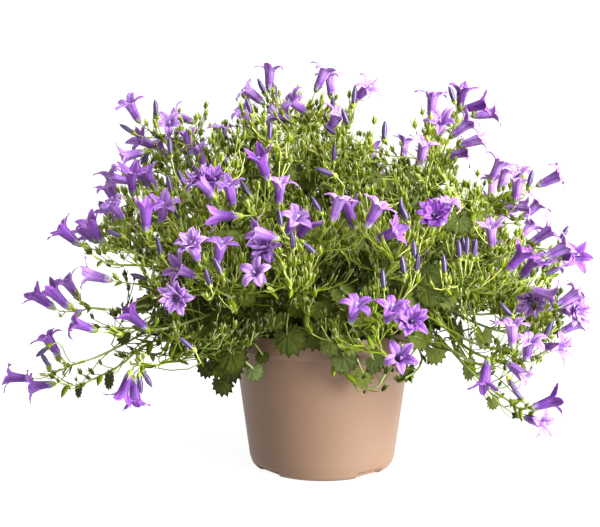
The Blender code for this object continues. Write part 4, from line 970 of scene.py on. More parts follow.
def shown_spray(rng, space, name, marks, closed_marks):
    """A spray on the near side, from its picture places."""
    spray = Spray(name, PEDICEL_POINTS)
    middle_u = sum(mark[0] + mark[2] for mark in marks) / (2 * len(marks))
    middle_v = sum(mark[1] + mark[3] for mark in marks) / (2 * len(marks))
    near, far = dome_depths(middle_u, middle_v)
    height = min(1.0, max(0.0, (INNER_FROM_V - middle_v) / INNER_RANGE_V))
    depth = (near + (far - near) * rng.uniform(0.0, INNER_SHARE) * height) * DOME_FILL
    depth += rng.uniform(-SPRAY_JITTER, SPRAY_JITTER)
    for mouth_u, mouth_v, root_u, root_v, facing in marks:
        turn = rng.uniform(0, 2 * math.pi)
        own_depth = depth + rng.uniform(-BLOOM_JITTER, BLOOM_JITTER)

        def bloom_at(shift, across):
            mouth = at_depth(mouth_u, mouth_v, own_depth + shift) + np.array((across, 0.0, -across))
            root = at_depth(root_u, root_v, own_depth + shift)
            line = unit(mouth - root) * math.sqrt(1 - facing * facing)
            return Bloom(mouth, line + unit(EYE - mouth) * facing, turn)

        bloom = fit_bloom(space, bloom_at, name)
        if bloom is not None:
            spray.blooms.append(bloom)
    for tip_u, tip_v, root_u, root_v in closed_marks:
        for shift in CLOSED_SHIFTS:
            root = at_depth(root_u, root_v, depth + shift)
            tip = root + unit(at_depth(tip_u, tip_v, depth + shift) - root) * CLOSED_LENGTH
            trial = [(root, tip, CLOSED_RADIUS)]
            if space.room(trial) >= CLEARANCE:
                space.add(trial, name)
                spray.closed.append((tip, root))
                break
    return spray


def far_spray(rng, space, name, index):
    """A spray on the far side: blooms round a point of the dome, facing outward and up."""
    spray = Spray(name, FAR_PEDICEL_POINTS)
    bearing = math.pi * (index + 0.5) / FAR_SPRAYS
    rise = math.radians(FAR_LOWEST + FAR_RISE * ((index * GOLDEN) % 1.0))
    normal = np.array((math.cos(rise) * math.cos(bearing), math.cos(rise) * math.sin(bearing),
                       math.sin(rise)))
    centre = DOME_CENTRE + DOME_REACH * normal * DOME_FILL
    level = unit(cross(normal, UP))
    upward = cross(level, normal)
    for k in range(FAR_BLOOMS):
        angle = 2 * math.pi * (k + rng.uniform(-FAR_TURN, FAR_TURN)) / FAR_BLOOMS
        spread = FAR_SPREAD * rng.uniform(*FAR_REACH)
        offset = turned(level, upward, angle)
        turn = rng.uniform(0, 2 * math.pi)
        lean = rng.uniform(*FAR_LEAN)

        def bloom_at(shift, across):
            mouth = centre + offset * (spread + across) - normal * shift
            facing = normal * FAR_FACING[0] + offset * FAR_FACING[1]
            return Bloom(mouth, facing + UP * lean, turn)

        bloom = fit_bloom(space, bloom_at, name)
        if bloom is not None:
            spray.blooms.append(bloom)
    return spray


class Crown:
    """A rooted crown, with the stems, leaves and buds that grow from it."""

    def __init__(self, name, x, y):
        self.name = name
        self.top = np.array((x, y, SOIL_TOP + CROWN_RISE))
        self.stems = []
        self.lines = []
        self.leaves = []
        self.buds = []

    def root_for(self, end):
        """Where a stem toward a point leaves the crown: on the side that faces it."""
        across = end[:2] - self.top[:2]
        away = min(1.0, np.linalg.norm(across) / ROOT_FULL_REACH) * CROWN_RADIUS * ROOT_SPREAD
        outward = np.append(across, 0.0) / max(np.linalg.norm(across), 1e-6)
        return self.top + outward * away - UP * CROWN_RISE * ROOT_SINK

    def knob(self):
        foot = self.top - UP * CROWN_RISE
        end = self.top - UP * CROWN_RADIUS * KNOB_CLEAR[0]
        return [(foot, end, CROWN_RADIUS * KNOB_CLEAR[1])]


def route(space, crown, start, end, end_way, radius, count, goal=""):
    """A curve from a root to a point, bent more at each try until it is clear of other pieces."""
    across = end[:2] - start[:2]
    outward = np.append(across, 0.0) / max(np.linalg.norm(across), 1e-6)
    sideways = level_beside(outward)
    reach = np.linalg.norm(end - start)
    best = None
    for lift in STEM_LIFTS:
        for bend in STEM_BENDS:
            rise = (STEM_RISE + lift) * reach + RIM_CLEAR * min(1.0, reach / RIM_CLEAR_FROM)
            near = start + outward * reach * STEM_OUT + sideways * bend * reach + UP * rise
            far = (end - end_way * reach * STEM_END + sideways * bend * reach * STEM_END_BEND
                   + UP * lift * reach * STEM_END_BEND)
            points = bezier((start, end), (near, far), count)
            pieces = spans(points, radius)
            if not off_pot(pieces):
                continue
            room = min(space.room(pieces[:-1], crown.name), space.room(pieces[-1:], crown.name, goal))
            own = space.room(pieces[1:-1]) if len(pieces) > 2 else 1.0
            score = min(room, CLEARANCE) + OWN_WEIGHT * min(own, CLEARANCE)
            if best is None or score > best[0]:
                best = (score, room, points, ((start, end), (near, far)))
            if score >= (1.0 + OWN_WEIGHT) * CLEARANCE:
                return best[1:]
    return best and best[1:]


def grow_stem(space, crowns, spray):
    """A stem that ends a small gap short of the spray's stalk, from the best placed crown."""
    way = unit(spray.top - spray.seat)
    end = spray.seat - way * TOUCH_GAP
    nearest = sorted(crowns, key=lambda crown: np.linalg.norm(crown.top - end)
                     + CROWDED * len(crown.stems))
    best = None
    for crown in nearest[:CROWNS_TRIED]:
        found = route(space, crown, crown.root_for(end), end, way, STEM_RADIUS, STEM_POINTS, spray.name)
        if found and (best is None or found[0] > best[0]):
            best = (found[0], found[1], found[2], crown)
        if best and best[0] >= CLEARANCE:
            break
    room, points, line, crown = best
    crown.stems.append(points)
    crown.lines.append(line)
    space.add(spans(points, STEM_RADIUS), crown.name)


class Leaf:
    """A heart-shaped toothed blade: its petiole's end, its midrib's way, its upper side."""

    def __init__(self, base, way, normal, size):
        self.base = base
        self.way = unit(way)
        self.side = unit(np.cross(normal, self.way))
        self.normal = np.cross(self.way, self.side)
        self.size = size
        self.petiole_line = None

    def outline(self):
        count = 2 * LEAF_TEETH + 1
        points = []
        for k in range(count):
            angle = LEAF_SWEEP * (2 * k / (count - 1) - 1)
            notch = 1.0 if k % 2 == 0 else LEAF_NOTCH
            reach = self.size * (LEAF_FORM[0] + LEAF_FORM[1] * math.cos(angle)) * notch
            phase = LEAF_WAVE_TURNS[0] * angle + LEAF_WAVE_TURNS[1] * self.size
            wave = self.size * LEAF_WAVE * math.cos(phase)
            points.append(self.base + self.way * reach * math.cos(angle)
                          + self.side * reach * math.sin(angle) + self.normal * wave)
        points.append(self.base - self.way * self.size * LEAF_HEEL)
        return points

    def capsules(self):
        outline = self.outline()
        ring = outline + outline[:1]
        half = LEAF_THICKNESS / 2
        return spans(ring, half) + [(self.base, point, half) for point in outline]


def grow_leaf(space, crowns, leaf):
    """Sets a blade where it is clear and runs a petiole to it from a near stem or crown."""
    if not off_pot(leaf.capsules()) or space.room(leaf.capsules()) < CLEARANCE:
        return False
    way = unit(leaf.way * PETIOLE_WAY[0] + leaf.normal * PETIOLE_WAY[1])
    roots = []
    for crown in crowns:
        for stem in crown.stems:
            for k in range(1, len(stem) - 1):
                root = (stem[k] + stem[k - 1]) / 2
                reach = np.linalg.norm(root - leaf.base)
                if SHORT_PETIOLE[0] < reach < SHORT_PETIOLE[1]:
                    roots.append((reach, len(roots), crown, root, SHORT_PETIOLE_POINTS))
        root = crown.root_for(leaf.base)
        cost = np.linalg.norm(root - leaf.base) + CROWN_PETIOLE_COST
        roots.append((cost, len(roots), crown, root, PETIOLE_POINTS))
    for reach, order, crown, root, count in sorted(roots)[:PETIOLE_TRIES]:
        found = route(space, crown, root, leaf.base, way, PETIOLE_RADIUS, count)
        if found and found[0] >= CLEARANCE:
            leaf.petiole_line = found[2]
            crown.leaves.append(leaf)
            space.add(leaf.capsules() + spans(found[1], PETIOLE_RADIUS), crown.name)
            return True
    return False


def shown_leaf(rng, space, crowns, u, v, reach, size):
    """A leaf at a picture place, turned and moved until it has room. The lowest ones hang."""
    hang = min(1.0, max(0.0, (v - HANG_FROM_V) / HANG_RANGE_V))
    for attempt in range(LEAF_TRIES):
        shifts = [rng.uniform(-1, 1) * attempt * jitter for jitter in LEAF_JITTER]
        place = at_reach(u + shifts[0], v + shifts[1], reach + shifts[2])
        outward = unit(np.array((place[0], place[1], 0.0)))
        level = level_beside(outward)
        normal = (outward * (rng.uniform(*LEAF_OUT) + hang) + level * rng.uniform(-LEAF_TILT, LEAF_TILT)
                  + np.array((0, -HANG_FACING * hang, LEAF_UP * (1 - HANG_UPRIGHT * hang))))
        way = outward * LEAF_REACH * (1 - hang) + level * rng.uniform(-LEAF_TURN, LEAF_TURN)
        way[2] -= rng.uniform(*LEAF_DROOP) + hang
        way = in_plane(way, normal)
        leaf = Leaf(place - way * size * LEAF_SET, way, normal, size)
        if grow_leaf(space, crowns, leaf):
            return True
    return False


def ring_leaf(rng, space, crowns, bearing, reaches, heights):
    """A leaf that no picture place is known for, at a bearing round the pot."""
    for attempt in range(LEAF_TRIES):
        outward = toward(bearing + rng.uniform(-RING_BEARING, RING_BEARING))
        reach = rng.uniform(*reaches)
        height = rng.uniform(*heights) - reach * COLLAR_FALL
        level = level_beside(outward)
        normal = (outward * rng.uniform(*RING_OUT) + level * rng.uniform(-RING_TILT, RING_TILT)
                  + UP * RING_UP)
        way = outward + level * rng.uniform(-RING_TURN, RING_TURN)
        way = in_plane(way, normal)
        leaf = Leaf(outward * reach + UP * height, way, normal, rng.uniform(*RING_SIZE))
        if grow_leaf(space, crowns, leaf):
            return True
    return False


def grow_buds(rng, space, crowns):
    """Green buds on slender stalks, spread evenly along all stems."""
    heads = []
    tries = 0
    while len(heads) < BUDS and tries < BUDS * BUD_TRIES:
        tries += 1
        crown = crowns[rng.randrange(len(crowns))]
        stem = crown.stems[rng.randrange(len(crown.stems))]
        index = rng.randrange(2, len(stem) - 1)
        along = rng.random()
        root = stem[index] * (1 - along) + stem[index - 1] * along
        flow = unit(stem[index] - stem[index - 1])
        outward = unit((root - DOME_CENTRE) / DOME_REACH)
        turn = np.array([rng.gauss(0, BUD_SCATTER) for axis in range(3)])
        way = unit(flow * BUD_WAY[0] + outward * BUD_WAY[1] + UP * BUD_WAY[2] + turn)
        neck = root + way * rng.uniform(*BUD_STALK)
        tip = neck + unit(way + UP * BUD_LIFT) * BUD_LENGTH
        if heads and min(np.linalg.norm(tip - head) for head in heads) < BUD_SPACING:
            continue
        trial = [(root, neck, PEDICEL_RADIUS), (neck, tip, BUD_RADIUS)]
        if off_pot(trial) and space.room(trial[:1], crown.name) >= CLEARANCE \
                and space.room(trial[1:]) >= CLEARANCE:
            crown.buds.append((root, neck, tip))
            space.add(trial, crown.name)
            heads.append(tip)


def lay_out():
    """Places every spray, stem, leaf and bud, each clear of those before it."""
    rng = random.Random(SEED)
    space = Space()
    crowns = [Crown("crown_1", 0.0, 0.0)]
    for k in range(CROWNS_ROUND):
        bearing = 2 * math.pi * (k + 0.5) / CROWNS_ROUND - math.pi / 2
        crowns.append(Crown(f"crown_{k + 2}", CROWN_REACH * math.cos(bearing),
                            CROWN_REACH * math.sin(bearing)))
    for crown in crowns:
        space.add(crown.knob(), crown.name)
    sprays = [shown_spray(rng, space, name, *marks) for name, marks in FRONT_SPRAYS.items()]
    for index in range(FAR_SPRAYS):
        name = f"spray_{len(FRONT_SPRAYS) + index + 1:02d}"
        sprays.append(far_spray(rng, space, name, index))
    for spray in sprays:
        spray.join(space)
    for spray in sorted(sprays, key=lambda item: item.seat[2]):
        grow_stem(space, crowns, spray)
    for mark in SHOWN_LEAVES:
        shown_leaf(rng, space, crowns, *mark)
    for index in range(COLLAR_LEAVES):
        bearing = COLLAR_FROM + COLLAR_ARC * (index + 0.5) / COLLAR_LEAVES
        ring_leaf(rng, space, crowns, bearing, COLLAR_REACH, COLLAR_HEIGHT)
    for index in range(HEART_LEAVES):
        bearing = 2 * math.pi * index * GOLDEN
        ring_leaf(rng, space, crowns, bearing, HEART_REACH, HEART_HEIGHT)
    grow_buds(rng, space, crowns)
    return sprays, crowns


class Piece:
    """Points, faces and surface values gathered for one mesh object."""

    def __init__(self, name):
        self.name = name
        self.points = []
        self.faces = []
        self.looks = []
        self.values = {"tone": [], "along": [], "across": []}
        self.count = 0

    def add(self, points, faces, look=0, tone=0.5, along=0.0, across=0.0):
        points = points.reshape(-1, 3)
        self.points.append(points)
        self.faces.append(faces + self.count)
        self.looks.append(np.full(len(faces), look))
        for name, value in (("tone", tone), ("along", along), ("across", across)):
            self.values[name].append(np.broadcast_to(np.asarray(value, float).ravel(), len(points)))
        self.count += len(points)

    def make(self, looks, slot, *nodes):
        """Builds the object, gives it its materials and sets it in the frame."""
        mesh = bpy.data.meshes.new(self.name)
        faces = [face for group in self.faces for face in group.tolist()]
        mesh.from_pydata(np.concatenate(self.points).tolist(), [], faces)
        mesh.polygons.foreach_set("use_smooth", np.ones(len(faces), bool))
        mesh.polygons.foreach_set("material_index", np.concatenate(self.looks).astype(np.int32))
        for name, values in self.values.items():
            layer = mesh.attributes.new(name, "FLOAT", "POINT")
            layer.data.foreach_set("value", np.concatenate(values).astype(np.float32))
        for look in looks:
            mesh.materials.append(look)
        made = bpy.data.objects.new(self.name, mesh)
        bpy.context.scene.collection.objects.link(made)
        if nodes:
            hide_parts(*nodes)
        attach(made, "root")
        return made


def grid_faces(rows, columns, wrap=False):
    """Quads of a grid of points, joined round when it wraps."""
    row = np.arange(rows - 1)[:, None] * columns
    column = np.arange(columns if wrap else columns - 1)[None]
    after = (column + 1) % columns
    quads = np.stack((row + column, row + after, row + columns + after, row + columns + column), -1)
    return quads.reshape(-1, 4)


def tube_grid(points, radii, sides):
    """Rings of points of a round tube along a line."""
    flow = np.gradient(points, axis=0)
    flow /= np.linalg.norm(flow, axis=1)[:, None]
    side = unit(cross(flow[0], TUBE_SKEW))
    turns = np.arange(sides) * 2 * math.pi / sides
    cosines, sines = np.cos(turns)[:, None], np.sin(turns)[:, None]
    rings = np.empty((len(points), sides, 3))
    for k, way in enumerate(flow):
        side = unit(side - way * side.dot(way))
        rings[k] = points[k] + radii[k] * (cosines * side + sines * cross(way, side))
    return rings


def add_tube(piece, points, radii, sides, tone=0.5, look=0):
    """A round tube along a line, with its radii at even steps."""
    steps = np.linspace(0.0, 1.0, len(points))
    radii = np.interp(steps, np.linspace(0.0, 1.0, len(radii)), radii)
    piece.add(tube_grid(points, radii, sides), grid_faces(len(points), sides, True), look, tone,
              np.repeat(steps, sides))


def add_blade(piece, points, normal, widths, thickness, fold, tone, look=0):
    """A slim closed blade along a line, folded up along its middle."""
    side = np.cross(np.gradient(points, axis=0), normal)
    side /= np.linalg.norm(side, axis=1)[:, None]
    widths = np.asarray(widths)[:, None]
    rise = normal * thickness
    lift = normal * widths * fold
    rings = np.stack((points - side * widths + lift, points + rise, points + side * widths + lift,
                      points - rise), 1)
    along = np.repeat(np.linspace(0.0, 1.0, len(points)), 4)
    across = np.tile((-1.0, 0.0, 1.0, 0.0), len(points))
    piece.add(rings, grid_faces(len(points), 4, True), look, tone, along, across)


class Corolla:
    """The grid that every open bell shares: five sectors, one tube and a lobe for each."""

    def __init__(self):
        columns = LOBE_COLUMNS + 1
        rows = TUBE_ROWS + LOBE_ROWS
        around = LOBES * LOBE_COLUMNS
        place = np.empty((LOBES, rows, columns), int)
        for k in range(LOBES):
            for j in range(columns):
                place[k, :TUBE_ROWS, j] = np.arange(TUBE_ROWS) * around + (k * LOBE_COLUMNS + j) % around
        lobes = np.arange(LOBES * LOBE_ROWS * columns).reshape(LOBES, LOBE_ROWS, columns)
        place[:, TUBE_ROWS:, :] = lobes + TUBE_ROWS * around
        self.place = place
        self.count = TUBE_ROWS * around + lobes.size
        outer = place.reshape(LOBES, -1)[:, grid_faces(rows, columns)].reshape(-1, 4)
        inner = outer[:, ::-1] + self.count
        rims = [self.rim(place[k, TUBE_ROWS - 1:, 0][::-1]) for k in range(LOBES)]
        rims += [self.rim(place[k, TUBE_ROWS - 1:, -1]) for k in range(LOBES)]
        rims += [self.rim(place[k, -1][::-1]) for k in range(LOBES)]
        self.faces = np.concatenate([outer, inner] + rims)
        self.across = np.linspace(-1.0, 1.0, columns)
        steps = np.concatenate((np.linspace(0.0, 0.5, TUBE_ROWS), 0.5 + 0.5 * LOBE_STEPS))
        self.along = np.empty(2 * self.count)
        self.side = np.empty(2 * self.count)
        for half in range(2):
            self.along[place + half * self.count] = steps[None, :, None]
            self.side[place + half * self.count] = self.across[None, None] + INNER_MARK * half

    def rim(self, line):
        """Quads that close the gap between the two faces along an edge."""
        return np.stack((line[:-1], line[:-1] + self.count, line[1:] + self.count, line[1:]), -1)

    def lobe(self, rng, tube, flare, ruffle):
        """One sector: how far each point lies out, aside and up from the middle of the mouth."""
        half_turn = math.pi / LOBES
        fine = np.linspace(0.0, 1.0, LOBE_CURVE_STEPS)
        length = LOBE_LENGTH * rng.uniform(*LOBE_LENGTHS)
        opened = flare + rng.uniform(-FLARE_SPREAD, FLARE_SPREAD)
        heading = LOBE_START + (opened - LOBE_START) * fine ** LOBE_CURL
        reach = FINE_MOUTH_RADIUS + length * np.cumsum(np.sin(heading)) / len(fine)
        height = length * np.cumsum(np.cos(heading)) / len(fine)
        tube_height = (np.linspace(0.0, 1.0, TUBE_ROWS) - 1.0) * TUBE_LENGTH
        reach = np.concatenate((tube, np.interp(LOBE_STEPS, fine, reach)))[:, None]
        height = np.concatenate((tube_height, np.interp(LOBE_STEPS, fine, height)))[:, None]
        blade = LOBE_HALF_WIDTH * np.interp(LOBE_STEPS, *LOBE_SHAPE)
        width = np.concatenate((tube * math.sin(half_turn), blade))[:, None]
        bulge = np.concatenate((tube, FINE_MOUTH_RADIUS * (1.0 - LOBE_STEPS) ** 2))[:, None]
        out = np.concatenate((np.zeros(TUBE_ROWS), LOBE_STEPS))[:, None]
        cup = rng.uniform(*LOBE_CUP)
        wave = np.sin(out * rng.uniform(*RUFFLE_WAVES) + rng.uniform(0, ANY_TURN)) * self.across
        wave = wave * rng.choice((-1, 1)) + RUFFLE_ROLL * self.across ** 2
        aside = width * np.sin(half_turn * self.across) / math.sin(half_turn)
        aside = aside + rng.uniform(-LOBE_SWAY, LOBE_SWAY) * out ** 2
        rise = height + out * (cup * width * self.across ** 2 + wave * ruffle)
        rise = rise + rng.uniform(-LOBE_TWIST, LOBE_TWIST) * out ** 2 * aside
        radial = reach - bulge * (1.0 - np.cos(half_turn * self.across))
        radial = radial * (1.0 + TUBE_RIB * np.cos(2 * half_turn * self.across) * (1.0 - out))
        return radial, aside, rise

    def points(self, rng, bloom, flare, ruffle):
        """Both faces of one bell, at its place, opened as far as flare says."""
        grid = np.empty((LOBES, TUBE_ROWS + LOBE_ROWS, LOBE_COLUMNS + 1, 3))
        tube = np.array(TUBE_RADII) * rng.uniform(*TUBE_SPREAD)
        tube[-1] = FINE_MOUTH_RADIUS
        for k in range(LOBES):
            radial, aside, rise = self.lobe(rng, tube, flare, ruffle)
            angle = 2 * math.pi * k / LOBES + bloom.turn
            grid[k, ..., 0] = radial * math.cos(angle) - aside * math.sin(angle)
            grid[k, ..., 1] = radial * math.sin(angle) + aside * math.cos(angle)
            grid[k, ..., 2] = rise
        normal = np.cross(np.gradient(grid, axis=2), np.gradient(grid, axis=1))
        normal /= np.linalg.norm(normal, axis=-1)[..., None] + TINY
        for k in range(LOBES):
            after = (k + 1) % LOBES
            seam = normal[k, :TUBE_ROWS, -1] + normal[after, :TUBE_ROWS, 0]
            seam /= np.linalg.norm(seam, axis=-1)[..., None]
            normal[k, :TUBE_ROWS, -1] = seam
            normal[after, :TUBE_ROWS, 0] = seam
        local = np.empty((2 * self.count, 3))
        local[self.place] = grid + normal * PETAL_THICKNESS / 2
        local[self.place + self.count] = grid - normal * PETAL_THICKNESS / 2
        local *= bloom.size
        side, other = beside(bloom.axis, BELL_SKEW)
        return bloom.mouth + local[:, :1] * side + local[:, 1:2] * other + local[:, 2:] * bloom.axis


def add_style(piece, rng, bloom):
    """The pale style that stands out of the throat and ends in three curled tips."""
    bend = np.array([rng.uniform(-STYLE_BEND, STYLE_BEND) for axis in range(3)])
    end = bloom.mouth + bloom.axis * STYLE_BEYOND * bloom.size + bend
    handle = bloom.axis * STYLE_HANDLE
    points = bezier((bloom.root, end), (bloom.root + handle, end - handle), 4)
    add_tube(piece, points, STYLE_RADII, 4, look=1)
    for k in range(STYLE_TIPS):
        angle = 2 * math.pi * k / STYLE_TIPS + bloom.turn
        tip = [end - bloom.axis * STYLE_TIP_SINK]
        tip += [end + bloom.around(angle, out, 0.0) - bloom.mouth + bloom.axis * lift
                for out, lift in STYLE_TIP]
        add_tube(piece, np.array(tip), STYLE_TIP_RADII, 3, look=1)


def add_calyx(piece, rng, root, way, size, tone):
    """The green cup at a bloom's root and its five slim sepals."""
    side, other = beside(way, BELL_SKEW)
    add_tube(piece, root + way * CALYX_HEIGHTS[:, None] * size, CALYX_RADII * size, 8, tone)
    start = rng.uniform(0, 2 * math.pi)
    for k in range(LOBES):
        out = turned(side, other, start + 2 * math.pi * k / LOBES)
        spread = out * rng.uniform(*SEPAL_SPREAD)
        first = root + (out * SEPAL_FOOT[0] + way * SEPAL_FOOT[1]) * size
        middle = first + (spread * SEPAL_MIDDLE[0] + way * SEPAL_MIDDLE[1]) * size
        last = first + (spread * SEPAL_TIP[0] + way * SEPAL_TIP[1]) * size
        points = np.array((first, (first + middle) / 2, middle, last))
        add_blade(piece, points, out - way * SEPAL_LEAN, SEPAL_WIDTHS * size, SEPAL_THICKNESS,
                  SEPAL_FOLD, tone)


def add_closed(piece, rng, root, tip, tone):
    """A closed corolla: five pleats that run up to a point, with a slight twist."""
    way = tip - root
    side, other = beside(unit(way), BELL_SKEW)
    columns = np.arange(2 * LOBES)
    pleat = 1.0 + np.where(columns % 2 == 0, CLOSED_PLEAT, -CLOSED_PLEAT)[:, None]
    twist = rng.uniform(-CLOSED_TWIST, CLOSED_TWIST)
    rings = []
    for t, radius in zip(CLOSED_STEPS, CLOSED_RADII):
        angles = (columns * math.pi / LOBES + twist * t)[:, None]
        ring = np.cos(angles) * side + np.sin(angles) * other
        rings.append(root + way * t + ring * pleat * radius)
    along = np.repeat(CLOSED_STEPS, len(columns))
    across = np.tile(columns % 2, len(rings))
    piece.add(np.array(rings), grid_faces(len(rings), len(columns), True), 2, tone, along, across)


def add_bud(piece, rng, neck, way, length, tone, sepals=BUD_SEPALS):
    """A small green bud: a pointed body in a few slim sepals."""
    side, other = beside(way, BELL_SKEW)
    turns = (np.arange(BUD_SIDES) * 2 * math.pi / BUD_SIDES + rng.uniform(0, ANY_TURN))[:, None]
    ring = np.cos(turns) * side + np.sin(turns) * other
    rings = [neck + (way * t + ring * radius) * length for t, radius in zip(BUD_STEPS, BUD_RADII)]
    along = np.repeat(BUD_STEPS, BUD_SIDES)
    piece.add(np.array(rings), grid_faces(len(rings), BUD_SIDES, True), 0, tone, along)
    for k in range(sepals):
        out = turned(side, other, 2 * math.pi * (k + rng.uniform(*BUD_SEPAL_PLACE)) / sepals)
        first = neck + (out * BUD_SEPAL_FOOT[0] + way * BUD_SEPAL_FOOT[1]) * length
        last = neck + (way * rng.uniform(*BUD_SEPAL_HEIGHT) + out * rng.uniform(*BUD_SEPAL_OUT)) * length
        add_blade(piece, np.array((first, last)), out, BUD_SEPAL_WIDTHS * length, BUD_SEPAL_THICKNESS,
                  BUD_SEPAL_FOLD, tone + SEPAL_LIGHTER)


def add_sprout(piece, rng, base, way, normal, length, tone):
    """A small stem leaf: an oval pointed blade, bent back a little."""
    last = base + (way + normal * rng.uniform(*SPROUT_BEND)) * length
    handles = (base + (way * SPROUT_HANDLES[0] + normal * SPROUT_RISE) * length,
               last - way * length * SPROUT_HANDLES[1])
    widths = SPROUT_SHAPE * length * rng.uniform(*SPROUT_WIDTH)
    add_blade(piece, bezier((base, last), handles, len(SPROUT_SHAPE)), normal, widths, SEPAL_THICKNESS,
              rng.uniform(*SPROUT_FOLD), tone, look=1)


def add_leaf(piece, rng, leaf, columns, rows, tone):
    """A toothed heart-shaped blade with sunken veins, closed with its underside."""
    sweep = np.linspace(-LEAF_SWEEP, LEAF_SWEEP, columns)
    teeth = np.abs((sweep / LEAF_SWEEP * LEAF_FINE_TEETH) % 1.0 - 0.5) * 2.0
    edge = 1.0 - LEAF_TOOTH_DEPTH * (1.0 - teeth ** LEAF_TOOTH_FORM)
    reach = leaf.size * (LEAF_FORM[0] + LEAF_FORM[1] * np.cos(sweep)) * edge * LEAF_FULLNESS
    part = np.linspace(0.0, 1.0, rows)
    part[0] = LEAF_HUB
    from_vein = np.min(np.abs(sweep[:, None] - np.array(VEIN_ANGLES)), axis=1) / VEIN_SPACING
    bow = leaf.size * LEAF_WAVE * np.cos(LEAF_WAVE_TURNS[0] * sweep + LEAF_WAVE_TURNS[1] * leaf.size)
    curl = rng.uniform(*LEAF_CURL)
    pocket = np.sin(np.clip(from_vein, 0, 1) * math.pi / 2)
    grid = np.empty((rows, columns, 3))
    for row, t in enumerate(part):
        quilt = leaf.size * LEAF_QUILT * pocket * math.sin(math.pi * min(1.0, t * LEAF_QUILT_REACH))
        lift = bow * t ** 1.5 + quilt + leaf.size * curl * t * t
        grid[row] = (leaf.base + (reach * t * np.cos(sweep))[:, None] * leaf.way
                     + (reach * t * np.sin(sweep))[:, None] * leaf.side + lift[:, None] * leaf.normal)
    half = leaf.normal * FINE_LEAF_THICKNESS / 2
    faces = grid_faces(rows, columns)
    count = rows * columns
    edge_line = np.concatenate((np.arange(rows - 1, 0, -1) * columns, np.arange(columns),
                                np.arange(1, rows) * columns + columns - 1,
                                (rows - 1) * columns + np.arange(columns - 1, -1, -1)))
    rim = np.stack((edge_line[:-1], edge_line[1:], edge_line[1:] + count, edge_line[:-1] + count), -1)
    across = np.tile(from_vein, rows)
    piece.add(np.concatenate((grid + half, grid - half)),
              np.concatenate((faces, faces[:, ::-1] + count, rim)), 0, tone,
              np.tile(np.repeat(part, columns), 2), np.concatenate((across, across + UNDER_MARK)))


class Sprig:
    """A fine side stem with buds on slender stalks and a few small leaves."""

    def __init__(self, owner, points, radii, tone, sepals=BUD_SEPALS):
        self.owner = owner
        self.points = points
        self.radii = radii
        self.tone = tone
        self.sepals = sepals
        self.closed = None
        self.stalks = []
        self.sprouts = []


class Filler:
    """What new growth starts from, what it keeps clear of, and the box that it stays in."""

    def __init__(self, sprays, crowns, low, high):
        solid = [capsule for spray in sprays for bloom in spray.blooms for capsule in bloom.capsules()]
        solid += [(root, tip, CLOSED_RADIUS) for spray in sprays for tip, root in spray.closed]
        self.obstacles = tuple(np.array(column) for column in zip(*solid))
        self.low = low
        self.high = high
        roots = []
        for crown in crowns:
            for line in crown.lines:
                points = bezier(*line, ROOT_STATIONS)
                roots += [(points[k], unit(points[k + 1] - points[k]), crown.name)
                          for k in range(ROOT_FIRST, ROOT_STATIONS - 1)]
        for spray in sprays:
            roots.append(((spray.top + spray.seat) / 2, unit(spray.top - spray.seat), spray.name))
        self.roots = np.array([root for root, flow, owner in roots])
        self.flows = [flow for root, flow, owner in roots]
        self.owners = [owner for root, flow, owner in roots]

    def root_for(self, end, reach, longest):
        """The stem point that lies about one reach below and behind an end."""
        gap = np.linalg.norm(self.roots - end, axis=1)
        lift = np.maximum(0.0, self.roots[:, 2] - end[2] + ROOT_BELOW)
        best = int(np.argmin(np.abs(gap - reach) + ROOT_LIFT_COST * lift))
        if ROOT_NEAREST < gap[best] < longest:
            return self.roots[best], self.flows[best], self.owners[best], gap[best]
        return None

    def clear(self, points, radius):
        start, end, thickness = self.obstacles
        return least_gap(spans(points, radius), start, end, thickness) > SPRIG_CLEARANCE

    def inside(self, *points):
        return all((point > self.low).all() and (point < self.high).all() for point in points)


def picture_place(point):
    """Where the camera sees a point, in pixels."""
    offset = point - EYE
    ahead = offset[1] * math.cos(PITCH) - offset[2] * math.sin(PITCH)
    above = offset[1] * math.sin(PITCH) + offset[2] * math.cos(PITCH)
    return PICTURE_CENTRE[0] + FOCAL * offset[0] / ahead, PICTURE_CENTRE[1] - FOCAL * above / ahead


def in_outline(place, outline):
    """Whether a picture place lies inside a closed outline."""
    inside = False
    for k, (u, v) in enumerate(outline):
        before_u, before_v = outline[k - 1]
        if (v > place[1]) != (before_v > place[1]) \
                and place[0] < u + (before_u - u) * (place[1] - v) / (before_v - v):
            inside = not inside
    return inside


def dome_normal(rng, lowest):
    """A direction drawn evenly over the dome, from a lowest slope up."""
    bearing = rng.uniform(0, 2 * math.pi)
    rise = rng.uniform(lowest, 1.0)
    return toward(bearing) * math.sqrt(1.0 - rise * rise) + UP * rise


